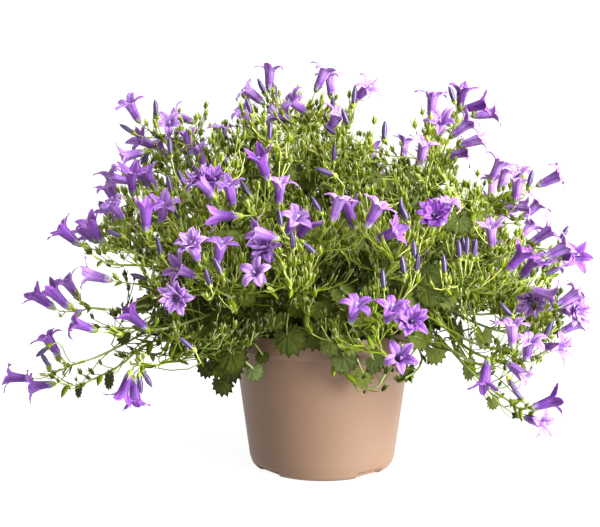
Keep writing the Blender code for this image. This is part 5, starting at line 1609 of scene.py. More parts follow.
def grow_sprigs(rng, filler):
    """Fills the plant between its blooms, each sprig from the stem that passes nearest below."""
    sprigs = []
    heads = np.zeros((0, 3))
    tries = 0
    while len(sprigs) < SPRIGS and tries < SPRIGS * SPRIG_TRIES:
        tries += 1
        normal = dome_normal(rng, SPRIG_LOWEST)
        depth = 1.0 - SPRIG_DEPTH * rng.random() ** SPRIG_BIAS
        head = DOME_CENTRE + DOME_REACH * normal * depth * DOME_FILL
        if not in_outline(picture_place(head), DENSE_OUTLINE) \
                and (head[2] < STRAY_LOWEST or rng.random() > STRAY_SHARE):
            continue
        if len(heads) and np.min(((heads - head) ** 2).sum(1)) < SPRIG_SPACING ** 2:
            continue
        found = filler.root_for(head, SPRIG_REACH * rng.uniform(*SPRIG_REACHES), SPRIG_LONGEST)
        if not found:
            continue
        root, flow, owner, reach = found
        turn = np.array([rng.gauss(0, SPRIG_SCATTER) for axis in range(3)])
        up = unit(unit(normal * SPRIG_OUTWARD + turn) * SPRIG_LEAN + UP)
        handles = (root + (flow * SPRIG_START + UP * SPRIG_RISE) * reach, head - up * reach * SPRIG_END)
        points = bezier((root, head), handles, SPRIG_POINTS)
        if not off_pot(spans(points, PEDICEL_RADIUS)) or not filler.inside(head + up * SPRIG_HEADROOM):
            continue
        if not filler.clear(points[1:], SPRIG_RADII[0]):
            continue
        # Sprigs deep inside the plant and low down get a darker tone: painted shade
        share = (depth - 1.0 + SPRIG_DEPTH) / SPRIG_DEPTH
        share *= min(1.0, max(LOW_SHADE, (head[2] - LOW_SHADE_FROM) / LOW_SHADE_RANGE))
        tone = SPRIG_PAINTED_SHADE_TONE[0] + (SPRIG_PAINTED_SHADE_TONE[1] - SPRIG_PAINTED_SHADE_TONE[0]) * share + rng.uniform(*SPRIG_TONE_SPREAD)
        outer = depth > SPRIG_BARE
        sprig = Sprig(owner, points, SPRIG_RADII, tone, BUD_SEPALS * outer)
        heads = np.vstack((heads, head))
        tip = head + up * CLOSED_LENGTH
        if outer and rng.random() < SPRIG_CLOSED and filler.inside(tip) \
                and filler.clear(np.array((head, tip)), CLOSED_RADIUS):
            sprig.closed = (head, tip)
        else:
            sprig.stalks.append((head, up, rng.uniform(*FINE_BUD), head))
        branch(rng, sprig, filler, rng.randrange(*SPRIG_STALKS))
        sprigs.append(sprig)
    return sprigs


def smooth_line(marks, count):
    """Evenly spaced points of a smooth curve through marks."""
    marks = np.array(marks)
    ends = np.vstack((2 * marks[0] - marks[1], marks, 2 * marks[-1] - marks[-2]))
    points = []
    for k in range(1, len(ends) - 2):
        before, start, stop, after = ends[k - 1:k + 3]
        for t in np.linspace(0.0, 1.0, SMOOTH_STEPS, endpoint=False):
            points.append(0.5 * (2 * start + (stop - before) * t
                                 + (2 * before - 5 * start + 4 * stop - after) * t * t
                                 + (3 * start - before - 3 * stop + after) * t ** 3))
    points = np.array(points + [marks[-1]])
    length = np.append(0.0, np.cumsum(np.linalg.norm(np.diff(points, axis=0), axis=1)))
    return at_stations(np.linspace(0.0, length[-1], count), length, points)


def at_stations(stations, known, points):
    """Points of a line at some stations, from points at known ones."""
    return np.array([np.interp(stations, known, points[:, axis]) for axis in range(3)]).T


def line_length(points):
    """The length of a line of points."""
    return np.linalg.norm(np.diff(points, axis=0), axis=1).sum()


def grow_shoots(rng, filler):
    """Long trailing shoots that carry buds on upright stalks."""
    shoots = []
    for marks in SHOOTS:
        places = [at_reach(*mark) for mark in marks]
        found = filler.root_for(places[0], SHOOT_ROOT_REACH, RIM_LEAF_LONGEST)
        if not found:
            continue
        points = smooth_line([found[0]] + places, SHOOT_POINTS)
        sprig = Sprig(found[2], points, SHOOT_RADII, SHOOT_TONE)
        end_way = unit(points[-1] - points[-2])
        sprig.stalks.append((points[-1], end_way, FINE_BUD[1], points[-1]))
        branch(rng, sprig, filler, int(line_length(points) / SHOOT_SPACING))
        shoots.append(sprig)
    return shoots


def grow_rim_leaves(rng, filler):
    """Leaves that hang over the pot's rim or stand at its sides, seen face on."""
    leaves = []
    for u, v, reach, size, lean, tone in RIM_LEAVES:
        place = at_reach(u, v, reach)
        outward = unit(place * (1.0, 1.0, 0.0))
        normal = unit(unit(EYE - place) * RIM_LEAF_FACING + outward * RIM_LEAF_OUT
                      + UP * rng.uniform(*RIM_LEAF_UP))
        way = in_plane(RIGHT * lean - UP + outward * RIM_LEAF_SPREAD, normal)
        leaf = Leaf(place - way * size * LEAF_SET, way, normal, size)
        found = filler.root_for(leaf.base, LEAF_ROOT_REACH, RIM_LEAF_LONGEST)
        if not found or not off_pot(leaf.capsules()):
            continue
        root, flow, owner, gap = found
        start, rise, end, lift = RIM_PETIOLE
        leaf.petiole_line = ((root, leaf.base), (root + (flow * start + UP * rise) * gap,
                                                 leaf.base - (way * end - normal * lift) * gap))
        leaves.append((owner, leaf, tone))
    return leaves


def grow_fill_leaves(rng, filler):
    """Leaves that fill the heart of the plant and lie round the pot's rim."""
    leaves = []
    tries = 0
    while len(leaves) < FILL_LEAVES and tries < FILL_LEAVES * FILL_TRIES:
        tries += 1
        outward = toward(rng.uniform(0, 2 * math.pi))
        reach = FILL_REACH * math.sqrt(rng.uniform(FILL_MIDDLE, 1.0))
        base = outward * reach + UP * (rng.uniform(*FILL_HEIGHT) - reach * FILL_FALL)
        outer = np.linalg.norm((base - DOME_CENTRE) / DOME_REACH) / FILL_SHARE
        if outer > 1.0 or not in_outline(picture_place(base), DENSE_OUTLINE):
            continue
        level = level_beside(outward)
        normal = (outward * rng.uniform(*FILL_OUT) + level * rng.uniform(-FILL_TILT, FILL_TILT)
                  + UP * FILL_UP)
        way = outward + level * rng.uniform(-FILL_TURN, FILL_TURN) - UP * rng.uniform(*FILL_DROOP)
        size = FILL_SIZE[1] + (FILL_SIZE[0] - FILL_SIZE[1]) * outer * rng.uniform(*FILL_SIZES)
        leaf = Leaf(base, in_plane(way, normal), normal, size)
        found = filler.root_for(base, LEAF_ROOT_REACH, FILL_LONGEST)
        if not found or not off_pot(leaf.capsules()):
            continue
        root, flow, owner, gap = found
        start, rise, end = FILL_PETIOLE
        end_way = unit(leaf.way * FILL_END_WAY[0] + leaf.normal * FILL_END_WAY[1])
        line = ((root, base), (root + (flow * start + UP * rise) * gap, base - end_way * gap * end))
        points = bezier(*line, FILL_PETIOLE_POINTS)
        outline = np.array(leaf.outline()[::2])
        if not off_pot(spans(points, PETIOLE_RADIUS)) or not filler.inside(*outline):
            continue
        if not filler.clear(outline, LEAF_CLEAR) or not filler.clear(points, PETIOLE_RADIUS):
            continue
        leaf.petiole_line = line
        leaves.append((owner, leaf))
    return leaves


def grow_shown_closed(filler):
    """Closed corollas at picture places, each on a stalk from a near stem."""
    grown = []
    for tip_u, tip_v, root_u, root_v in SHOWN_CLOSED:
        near = dome_depths(root_u, root_v)[0]
        for shift in SHOWN_CLOSED_SHIFTS:
            depth = near * DOME_FILL + shift
            root = at_depth(root_u, root_v, depth)
            tip = root + unit(at_depth(tip_u, tip_v, depth) - root) * CLOSED_LENGTH
            found = filler.root_for(root, CLOSED_ROOT_REACH, CLOSED_LONGEST)
            if found and filler.inside(tip) and filler.clear(np.array((root, tip)), CLOSED_RADIUS):
                break
        else:
            continue
        start, flow, owner, gap = found
        handles = (start + flow * gap * CLOSED_STALK[0], root - unit(tip - root) * gap * CLOSED_STALK[1])
        grown.append((owner, ((start, root), handles), root, tip))
    return grown


def branch(rng, sprig, filler, count):
    """Sets the stalks and small leaves along a sprig."""
    points = sprig.points
    turn = rng.uniform(0, 2 * math.pi)
    stations = np.linspace(0, len(points) - 1, BRANCH_STATIONS[0] * count + BRANCH_STATIONS[1])
    dense = at_stations(stations, np.arange(len(points)), points)
    for k in range(count):
        place = BRANCH_FROM + BRANCH_SHARE * (k + rng.uniform(*BRANCH_PLACE)) / count
        index = int(place * (len(dense) - 2))
        root = dense[index]
        flow = unit(dense[index + 1] - root)
        turn += BRANCH_TURN
        out = turned(*beside(flow, STALK_SIDE_SKEW), turn)
        reach = rng.uniform(*FINE_STALK)
        neck = root + unit(blended(STALK_WAY, flow, out, UP)) * reach
        way = unit(blended(BUD_END_WAY, flow, out, UP))
        length = rng.uniform(*FINE_BUD)
        tip = neck + way * length
        if filler.inside(tip) and off_pot([(root, tip, STALK_OFF_POT)]) \
                and filler.clear(np.array((neck, tip)), STALK_CLEAR):
            sprig.stalks.append((root, way, length, neck))
        if rng.random() < SPROUT_SHARE:
            way = unit(blended(SPROUT_WAY, flow, out))
            length = rng.uniform(*SPROUT_LENGTH)
            tip = root + way * length
            if filler.inside(tip) and filler.clear(np.array((root, tip)), SPROUT_CLEAR):
                sprig.sprouts.append((root, way, upper_side(way), length))


def blended(shares, *ways):
    """A mix of directions by their shares."""
    return sum(way * share for way, share in zip(ways, shares))


def upper_side(way, up=UP):
    """The side of a small leaf that faces up."""
    return unit(cross(cross(way, up), way))


def add_sprig(piece, rng, sprig):
    """The stem, stalks, buds and small leaves of one sprig."""
    tone = min(sprig.tone, LIGHTEST_SPRIG)
    add_tube(piece, sprig.points, sprig.radii, 4, tone)
    if sprig.closed:
        root, tip = sprig.closed
        add_closed(piece, rng, root, tip, rng.random() * DARK_CLOSED)
        add_calyx(piece, rng, root, unit(tip - root), CLOSED_CALYX, tone)
    for root, way, length, neck in sprig.stalks:
        shade = tone + rng.uniform(*STALK_TONE_SPREAD)
        reach = np.linalg.norm(neck - root)
        if reach > 0.0:
            first = unit(neck - root + way * reach * STALK_BEND)
            handles = (root + first * reach * STALK_HANDLES[0], neck - way * reach * STALK_HANDLES[1])
            add_tube(piece, bezier((root, neck), handles, 3), (PEDICEL_FINE,), 3, shade)
        add_bud(piece, rng, neck, way, length, shade - BUD_DARKER, sprig.sepals)
    for base, way, normal, length in sprig.sprouts:
        add_sprout(piece, rng, base, way, normal, length, rng.random())


def add_side_buds(piece, rng, line):
    """Short side stalks with buds and a small leaf along a bloom's pedicel."""
    for k in range(int(line_length(line) / SIDE_BUD_SPACING)):
        index = rng.randrange(1, len(line) - 2)
        root = line[index]
        flow = unit(line[index + 1] - root)
        out = unit(np.array([rng.uniform(-1, 1) for axis in range(3)]) + UP * SIDE_STALK_RISE)
        way = unit(flow + out)
        neck = root + way * rng.uniform(*SIDE_STALK)
        add_tube(piece, np.array((root, neck)), (PEDICEL_FINE,), 3)
        bent = unit(way + UP * SIDE_BUD_RISE)
        add_bud(piece, rng, neck, bent, rng.uniform(*FINE_BUD), rng.uniform(*SIDE_BUD_TONE))
        add_sprout(piece, rng, root, unit(flow - out * SIDE_LEAF_OUT), upper_side(way),
                   rng.uniform(*SIDE_LEAF_LENGTH), rng.uniform(*SIDE_LEAF_TONE))


def dress_spray(rng, corolla, spray, petals, greens):
    """The fine bells, closed corollas, pedicels and calyces of one spray."""
    for k, bloom in enumerate(spray.blooms):
        flare = rng.uniform(*FLARE)
        # Blooms further to the right get a paler tone: painted light
        tone = PETAL_TONE_AND_PAINTED_LIGHT[0] + PETAL_TONE_AND_PAINTED_LIGHT[1] * bloom.mouth[0]
        tone += rng.uniform(-PETAL_TONE_SPREAD, PETAL_TONE_SPREAD)
        # Low blooms near the middle are made darker: painted shade under the foliage
        if bloom.mouth[2] < LOW_BLOOM and abs(bloom.mouth[0]) < LOW_BLOOM_REACH:
            tone -= LOW_BLOOM_PAINTED_SHADE
        if (spray.name, k) in YOUNG_BLOOMS or rng.random() < YOUNG_SHARE:
            flare = rng.uniform(*YOUNG_FLARE)
            tone = rng.uniform(*YOUNG_TONE)
        points = corolla.points(rng, bloom, flare, RUFFLE * rng.uniform(*RUFFLES))
        petals.add(points, corolla.faces, 0, tone, corolla.along, corolla.side)
        if (spray.name, k) in DOUBLE_BLOOMS:
            for ring, (lift, size, open_angle) in enumerate(DOUBLE_RINGS):
                inner = Bloom(bloom.mouth + bloom.axis * lift, bloom.axis,
                              bloom.turn + (ring + 1) * math.pi / LOBES, bloom.size * size)
                points = corolla.points(rng, inner, open_angle, DOUBLE_RUFFLE)
                petals.add(points, corolla.faces, 0, tone, corolla.along, corolla.side)
        add_style(petals, rng, bloom)
        line = bezier(*spray.pedicels[k], 8)
        add_tube(greens, line, (PEDICEL_FINE,), 5, rng.uniform(*PEDICEL_TONE))
        add_side_buds(greens, rng, line)
        add_calyx(greens, rng, bloom.root, bloom.axis, bloom.size, rng.uniform(*CALYX_TONE))
    for k, (tip, root) in enumerate(spray.closed):
        add_closed(petals, rng, root, tip, rng.random())
        line = bezier(*spray.pedicels[len(spray.blooms) + k], 6)
        add_tube(greens, line, (PEDICEL_FINE,), 5, rng.uniform(*PEDICEL_TONE))
        add_calyx(greens, rng, root, unit(tip - root), CLOSED_CALYX, rng.uniform(*CALYX_TONE))
    way = unit(spray.top - spray.seat)
    stalk = (spray.seat - way * STALK_BEFORE, (spray.seat + spray.top) / 2, spray.top + way * STALK_BEYOND)
    add_tube(greens, np.array(stalk), STALK_RADII, 8, SPRAY_STALK_TONE)
    side = unit(cross(way, STALK_SIDE_SKEW))
    for k in range(2):
        leaf_way = unit(blended(TOP_LEAF_WAY, way, side * (1 - 2 * k), UP))
        add_sprout(greens, rng, spray.top, leaf_way, upper_side(leaf_way, way),
                   rng.uniform(*TOP_LEAF_LENGTH), rng.random())


def dress_crown(rng, crown, stems, leaves):
    """The fine knob, stems, petioles, leaves and buds of one crown."""
    points = crown.top + UP * KNOB_HEIGHTS[:, None]
    add_tube(stems, points, KNOB_RADII, 14, KNOB_TONE, look=1)
    for line in crown.lines:
        add_tube(stems, bezier(*line, 18), STEM_RADII, 8, rng.uniform(*STEM_TONE))
    for leaf in crown.leaves:
        add_tube(stems, bezier(*leaf.petiole_line, 8), PETIOLE_RADII, 6, rng.uniform(*PETIOLE_TONE))
        # Leaves start dark, as painted shade
        tone = rng.uniform(*UPPER_LEAF_PAINTED_SHADE)
        # Low leaves grow paler toward the right: painted light
        if leaf.base[2] < LOW_LEAF:
            tone += LOW_LEAF_PAINTED_LIGHT[0] + LOW_LEAF_PAINTED_LIGHT[1] * leaf.base[0]
        add_leaf(leaves, rng, leaf, *LEAF_GRID, tone)
    for root, neck, tip in crown.buds:
        way = unit(tip - neck)
        handles = (root + unit(neck - root) * BUD_STALK_HANDLE, neck - way * BUD_STALK_HANDLE)
        add_tube(stems, bezier((root, neck), handles, 6), (PEDICEL_FINE,), 5, BUD_STALK_TONE)
        add_bud(stems, rng, neck, way, BUD_LENGTH, BUD_TONE)


def fill(tree, socket, value):
    """Gives a socket a number or a colour, or links another node's output to it."""
    if isinstance(value, bpy.types.NodeSocket):
        tree.links.new(value, socket)
    elif socket.type == "RGBA":
        socket.default_value = (*value, 1.0)
    else:
        socket.default_value = value


def node(tree, kind, **inputs):
    """A shader node with some inputs set or linked by name."""
    made = tree.nodes.new(kind)
    for name, value in inputs.items():
        fill(tree, made.inputs[name.replace("_", " ")], value)
    return made


def map_range(tree, value, source, target):
    """A value carried evenly from one range to another."""
    return node(tree, "ShaderNodeMapRange", Value=value, From_Min=source[0], From_Max=source[1],
                To_Min=target[0], To_Max=target[1]).outputs[0]


def attribute(tree, name):
    made = tree.nodes.new("ShaderNodeAttribute")
    made.attribute_name = name
    return made.outputs["Fac"]


def calculate(tree, operation, first, second=0.0):
    made = tree.nodes.new("ShaderNodeMath")
    made.operation = operation
    fill(tree, made.inputs[0], first)
    fill(tree, made.inputs[1], second)
    return made.outputs[0]


def times(tree, first, second):
    return calculate(tree, "MULTIPLY", first, second)


def minus(tree, first, second):
    return calculate(tree, "SUBTRACT", first, second)


def ridge(tree, value, middle, height, slope):
    """A line that is highest where a value passes its middle."""
    gap = calculate(tree, "ABSOLUTE", minus(tree, value, middle))
    return minus(tree, height, times(tree, gap, slope))


def noise(tree, scale, detail=3.0):
    place = tree.nodes.new("ShaderNodeTexCoord")
    return node(tree, "ShaderNodeTexNoise", Vector=place.outputs["Object"], Scale=scale,
                Detail=detail).outputs["Fac"]


def ramp(tree, factor, *stops):
    """Colours along a factor, each stop a place and a colour."""
    made = tree.nodes.new("ShaderNodeValToRGB")
    tree.links.new(factor, made.inputs[0])
    elements = made.color_ramp.elements
    while len(elements) < len(stops):
        elements.new(0.5)
    for element, (place, colour) in zip(elements, stops):
        element.position = place
        element.color = (*colour, 1.0)
    return made.outputs["Color"]


def blend(tree, factor, first, second, mode="MIX"):
    made = tree.nodes.new("ShaderNodeMix")
    made.data_type = "RGBA"
    made.blend_type = mode
    for index, value in ((0, factor), (6, first), (7, second)):
        fill(tree, made.inputs[index], value)
    return made.outputs[2]


def mottled(tree, colour, share, grain, low, dark, high=0.7):
    """A colour made darker where a noise is low."""
    return blend(tree, share, colour, ramp(tree, grain, (low, dark), (high, WHITE)), "MULTIPLY")


def finish_look(name, build, roughness, **settings):
    """A material whose colour, height and depth of relief the build function makes from nodes."""
    made = bpy.data.materials.new(name)
    made.use_nodes = True
    tree = made.node_tree
    shader = tree.nodes["Principled BSDF"]
    colour, height, depth = build(tree)
    tree.links.new(colour, shader.inputs["Base Color"])
    tree.links.new(map_range(tree, height, (0.0, 1.0), roughness), shader.inputs["Roughness"])
    bump = node(tree, "ShaderNodeBump", Height=height, Distance=depth, Strength=BUMP_STRENGTH)
    tree.links.new(bump.outputs[0], shader.inputs["Normal"])
    for name, value in settings.items():
        shader.inputs[name.replace("_", " ")].default_value = value
    return made


def petal_nodes(tree):
    """Violet by age, with a tone that also holds painted light; pale in the tube, partly painted light
    shining through old tubes; painted light inside the throat; three darker veins on each lobe.
    """
    along = attribute(tree, "along")
    across = attribute(tree, "across")
    inner = calculate(tree, "GREATER_THAN", across, INNER_MARK / 2)
    across = calculate(tree, "ABSOLUTE", minus(tree, across, times(tree, inner, INNER_MARK)))
    young = ramp(tree, along, (0.0, TUBE_YOUNG), (0.18, PETAL_SHADE), (0.44, PETAL_DARK),
                 (0.56, PETAL_YOUNG))
    # Old tubes are paler: partly their own colour, partly painted light shining through the thin tube
    old = ramp(tree, along, (0.0, TUBE_OLD_AND_PAINTED_GLOW), (0.18, PETAL_MID), (0.45, PETAL_PALE))
    colour = blend(tree, attribute(tree, "tone"), young, old)
    # The inner face of the tube is painted paler, most deep in the throat: painted light
    throat = ramp(tree, along, (0.0, WHITE), (0.40, THROAT_PAINTED_LIGHT_FADE), (0.56, BLACK))
    colour = blend(tree, times(tree, throat, inner), colour, THROAT_PAINTED_LIGHT)
    lines = calculate(tree, "MAXIMUM", ridge(tree, across, *MIDDLE_VEIN), ridge(tree, across, *SIDE_VEIN))
    lines = calculate(tree, "MAXIMUM", lines, 0.0)
    colour = blend(tree, times(tree, lines, PETAL_VEIN_SHARE), colour, PETAL_VEIN)
    colour = mottled(tree, colour, 0.60, noise(tree, PETAL_CLOUD, 2.0), 0.36, PETAL_CLOUD_DARK, 0.62)
    grain = noise(tree, PETAL_GRAIN)
    colour = mottled(tree, colour, 0.35, grain, 0.3, PETAL_GRAIN_DARK)
    return colour, calculate(tree, "ADD", grain, times(tree, lines, PETAL_VEIN_RELIEF)), FINE_RELIEF


def style_nodes(tree):
    """Pale violet with a fine grain."""
    grain = noise(tree, FINE_GRAIN)
    return ramp(tree, grain, (0.3, STYLE_DARK), (0.7, STYLE_PALE)), grain, STYLE_RELIEF


def closed_nodes(tree):
    """Deep violet with a painted highlight along each fold."""
    grain = noise(tree, FINE_GRAIN)
    dark = ramp(tree, attribute(tree, "along"), *CLOSED_DARK)
    colour = blend(tree, attribute(tree, "tone"), dark, ramp(tree, grain, *CLOSED_LIGHT))
    # A painted highlight along each fold
    folds = calculate(tree, "MAXIMUM", attribute(tree, "across"), 0.0)
    lines = calculate(tree, "POWER", folds, CLOSED_HIGHLIGHT_FALL)
    return blend(tree, times(tree, lines, CLOSED_HIGHLIGHT_SHARE), colour, CLOSED_FOLD_PAINTED_HIGHLIGHT), grain, FINE_RELIEF


def green_nodes(tree):
    """Stems and buds: green by tone, which on sprigs holds painted shade, paler toward the tips, partly
    their own paler colour and partly a painted highlight.
    """
    grain = noise(tree, GREEN_GRAIN)
    colour = ramp(tree, attribute(tree, "tone"), (0.0, GREEN_DEEP), (0.5, GREEN_MID), (1.0, GREEN_BRIGHT))
    # Tips are paler: partly their own colour, partly a painted highlight
    tip = calculate(tree, "POWER", attribute(tree, "along"), GREEN_TIP_HIGHLIGHT_FALL)
    colour = blend(tree, times(tree, tip, GREEN_TIP_HIGHLIGHT_SHARE), colour, GREEN_TIP_PALE_AND_HIGHLIGHT)
    return mottled(tree, colour, 0.5, grain, 0.3, GREEN_GRAIN_DARK, 0.75), grain, FINE_RELIEF


def sprout_nodes(tree):
    """Small stem leaves, paler along the middle."""
    grain = noise(tree, SPROUT_GRAIN)
    colour = ramp(tree, attribute(tree, "tone"), (0.0, LEAF_DEEP), (0.6, LEAF_MID), (1.0, GREEN_MID))
    middle = minus(tree, 1.0, calculate(tree, "ABSOLUTE", attribute(tree, "across")))
    colour = blend(tree, times(tree, middle, SPROUT_RIB_SHARE), colour, GREEN_MID)
    return mottled(tree, colour, 0.5, grain, 0.3, SPROUT_GRAIN_DARK), grain, FINE_RELIEF


def leaf_nodes(tree):
    """Leaves: green by tone, paler below, with main veins and slanting side veins."""
    along = attribute(tree, "along")
    across = attribute(tree, "across")
    under = calculate(tree, "GREATER_THAN", across, UNDER_FROM)
    spread = minus(tree, across, times(tree, under, UNDER_MARK))
    ribs = minus(tree, 1.0, times(tree, spread, RIB_SLOPE))
    slant = minus(tree, times(tree, along, SIDE_VEINS), times(tree, spread, SIDE_VEIN_SLANT))
    slant = ridge(tree, calculate(tree, "FRACT", slant), *LEAF_SIDE_VEIN)
    veins = calculate(tree, "MAXIMUM", calculate(tree, "MAXIMUM", ribs, slant), 0.0)
    grain = noise(tree, LEAF_GRAIN, 5.0)
    patch = noise(tree, LEAF_PATCHES, 2.0)
    top = ramp(tree, attribute(tree, "tone"), (0.0, LEAF_DEEP), (0.5, LEAF_MID), (1.0, LEAF_GREY))
    top = blend(tree, times(tree, patch, LEAF_PATCH_SHARE), top, LEAF_MID)
    colour = blend(tree, under, top, LEAF_UNDER)
    colour = blend(tree, times(tree, veins, LEAF_VEIN_SHARE), colour, LEAF_VEIN)
    colour = mottled(tree, colour, 0.45, grain, 0.3, LEAF_GRAIN_DARK)
    return colour, minus(tree, grain, times(tree, veins, LEAF_VEIN_RELIEF)), LEAF_RELIEF


def bark_nodes(tree):
    """Dull brown-green bark."""
    grain = noise(tree, BARK_GRAIN, 6.0)
    return ramp(tree, grain, (0.3, BARK_DARK), (0.7, BARK_PALE)), grain, BARK_RELIEF


def pot_nodes(tree):
    """Matt tan plastic, a little cloudy."""
    grain = noise(tree, FINE_GRAIN, 4.0)
    colour = blend(tree, noise(tree, POT_CLOUD), POT_DARK, POT_PALE)
    return mottled(tree, colour, 0.15, grain, 0.35, POT_GRAIN_DARK, 0.65), grain, POT_RELIEF


def soil_nodes(tree):
    """Dark soil with a few pale crumbs."""
    grain = noise(tree, BARK_GRAIN, 8.0)
    clod = noise(tree, SOIL_CLODS, 4.0)
    return ramp(tree, grain, *SOIL_COLOURS), calculate(tree, "ADD", grain, clod), SOIL_RELIEF


def turned_grid(profile, angles):
    """Points of a surface turned about the Z axis, row by row."""
    profile = np.array(profile)
    return np.stack((profile[:, :1] * np.cos(angles), profile[:, :1] * np.sin(angles),
                     np.repeat(profile[:, 1:], len(angles), 1)), -1)


def wall_reach(height):
    """The outer radius of the pot's wall at a height."""
    return WALL_BASE_RADIUS + (WALL_TOP_RADIUS - WALL_BASE_RADIUS) * height / RIM_LOWER_EDGE


def rounded(centre, radius, start, stop, steps):
    """Points of a rounded edge about a centre, from one angle to another."""
    turns = np.radians(np.linspace(start, stop, steps))
    return [(centre[0] + radius * math.cos(a), centre[1] + radius * math.sin(a)) for a in turns]


def pot_profile():
    """Half the section of the pot, from the middle of its foot over the rim to its floor."""
    foot = wall_reach(0.0)
    inside = RIM_RADIUS - RIM_THICKNESS
    profile = [(reach, 0.0) for reach in FOOT_RINGS]
    profile += rounded((foot - FOOT_CORNER, FOOT_CORNER), FOOT_CORNER, -90, -6, 9)
    profile += [(foot, NOTCH_HEIGHT - EDGE_GAP), (foot, NOTCH_HEIGHT + EDGE_GAP)]
    profile += [(wall_reach(z), z) for z in np.linspace(*WALL_HEIGHTS, WALL_ROWS)]
    profile += [(WALL_TOP_RADIUS, RIM_LOWER_EDGE - COLLAR_STEP)]
    profile += [(WALL_TOP_RADIUS + COLLAR_STEP, RIM_LOWER_EDGE)]
    profile += rounded((RIM_RADIUS - RIM_ROUND, RIM_LOWER_EDGE + RIM_ROUND), RIM_ROUND, -90, 0, 5)
    profile += [(RIM_RADIUS - RIM_HOLLOW, (RIM_LOWER_EDGE + RIM_TOP) / 2)]
    profile += rounded((RIM_RADIUS - RIM_ROUND, RIM_TOP - RIM_ROUND), RIM_ROUND, 0, 180, 9)
    profile += [(inside - COLLAR_STEP / 2, RIM_TOP - RIM_LIP)]
    profile += [(inside - COLLAR_STEP, RIM_LOWER_EDGE + WALL_THICKNESS)]
    profile += [(WALL_TOP_RADIUS - WALL_THICKNESS, RIM_LOWER_EDGE)]
    profile += [(wall_reach(FLOOR_THICKNESS) - WALL_THICKNESS, FLOOR_THICKNESS)]
    return profile + [(0.0, FLOOR_THICKNESS)]


def make_pot(look):
    """The pot in one turned wall with a rounded rim, notches round its foot and drain holes."""
    profile = pot_profile()
    half = math.asin(NOTCH_WIDTH / 2 / wall_reach(0.0))
    bearings = [NOTCH_START + 2 * math.pi * k / NOTCHES for k in range(NOTCHES)]
    angles = list(np.arange(POT_COLUMNS) * 2 * math.pi / POT_COLUMNS)
    for bearing in bearings:
        for edge in (bearing - half, bearing + half):
            angles += [(edge + shift) % (2 * math.pi) for shift in (-NOTCH_EDGE, NOTCH_EDGE)]
    angles = np.array(sorted(angles))
    grid = turned_grid(profile, angles)
    reach = np.hypot(grid[..., 0], grid[..., 1])
    for bearing in bearings:
        offset = (angles - bearing + math.pi) % (2 * math.pi) - math.pi
        inner = (wall_reach(0.0) - NOTCH_DEPTH) / np.cos(np.clip(offset, -half, half))
        cut = (np.abs(offset) < half)[None] & (grid[..., 2] < NOTCH_HEIGHT) & (reach > inner[None])
        grid[..., :2] *= np.where(cut, inner[None] / np.maximum(reach, TINY), 1.0)[..., None]
    pot = Piece("pot_body")
    pot.add(grid, grid_faces(len(profile), len(angles), True))
    drill(pot.make([look], "pot", "pot"))


def drill(pot):
    """Closes the pot's wall on the axis and takes the drain holes out of its floor."""
    work = bmesh.new()
    work.from_mesh(pot.data)
    bmesh.ops.remove_doubles(work, verts=work.verts, dist=WELD)
    bmesh.ops.recalc_face_normals(work, faces=work.faces)
    work.to_mesh(pot.data)
    work.free()
    cutters = bpy.data.collections.new("drain_cutters")
    for k in range(DRAIN_HOLES):
        centre = toward(2 * math.pi * (k + 0.5) / DRAIN_HOLES) * DRAIN_HOLE_REACH + UP * FLOOR_THICKNESS / 2
        work = bmesh.new()
        bmesh.ops.create_cone(work, cap_ends=True, segments=DRAIN_HOLE_COLUMNS, radius1=DRAIN_HOLE_RADIUS,
                              radius2=DRAIN_HOLE_RADIUS, depth=CUTTER_DEPTH)
        bmesh.ops.translate(work, verts=work.verts, vec=Vector(centre))
        mesh = bpy.data.meshes.new("drain_cutter")
        work.to_mesh(mesh)
        work.free()
        cutters.objects.link(bpy.data.objects.new("drain_cutter", mesh))
    holes = pot.modifiers.new("holes", "BOOLEAN")
    holes.operation = "DIFFERENCE"
    holes.operand_type = "COLLECTION"
    holes.collection = cutters
    bpy.context.view_layer.update()
    result = bpy.data.meshes.new_from_object(pot.evaluated_get(bpy.context.evaluated_depsgraph_get()))
    pot.modifiers.clear()
    pot.data = result
    for cutter in list(cutters.objects):
        bpy.data.objects.remove(cutter)
    bpy.data.collections.remove(cutters)


def make_soil(rng, look):
    """Crumbly soil that fills the pot, its top raised in the middle."""
    inside = WALL_TOP_RADIUS - WALL_THICKNESS - TOUCH_GAP * 2
    floor = FLOOR_THICKNESS + TOUCH_GAP
    bottom = wall_reach(FLOOR_THICKNESS) - WALL_THICKNESS - TOUCH_GAP * 2
    angles = np.arange(SOIL_COLUMNS) * 2 * math.pi / SOIL_COLUMNS
    profile = [(SOIL_HUB, floor), (bottom, floor), (inside, RIM_LOWER_EDGE - COLLAR_STEP)]
    side_rows = len(profile) + 1
    profile += [(inside * r, SOIL_TOP - SOIL_DROP + SOIL_CROWN * (1 - r * r))
                for r in np.linspace(1.0, 0.01, SOIL_ROWS)]
    grid = turned_grid(profile, angles)
    bumps = np.zeros(grid.shape[:2])
    for count, widths, heights in SOIL_BUMPS:
        for k in range(count):
            x, y = (rng.uniform(-SOIL_BUMP_REACH, SOIL_BUMP_REACH) for axis in range(2))
            width = rng.uniform(*widths)
            distance = (grid[..., 0] - x) ** 2 + (grid[..., 1] - y) ** 2
            bumps += rng.uniform(*heights) * width * np.exp(-distance / width ** 2)
    grid[side_rows:, :, 2] += bumps[side_rows:]
    soil = Piece("soil_fill")
    soil.add(grid, grid_faces(len(profile), SOIL_COLUMNS, True))
    soil.make([look], "soil", "soil")


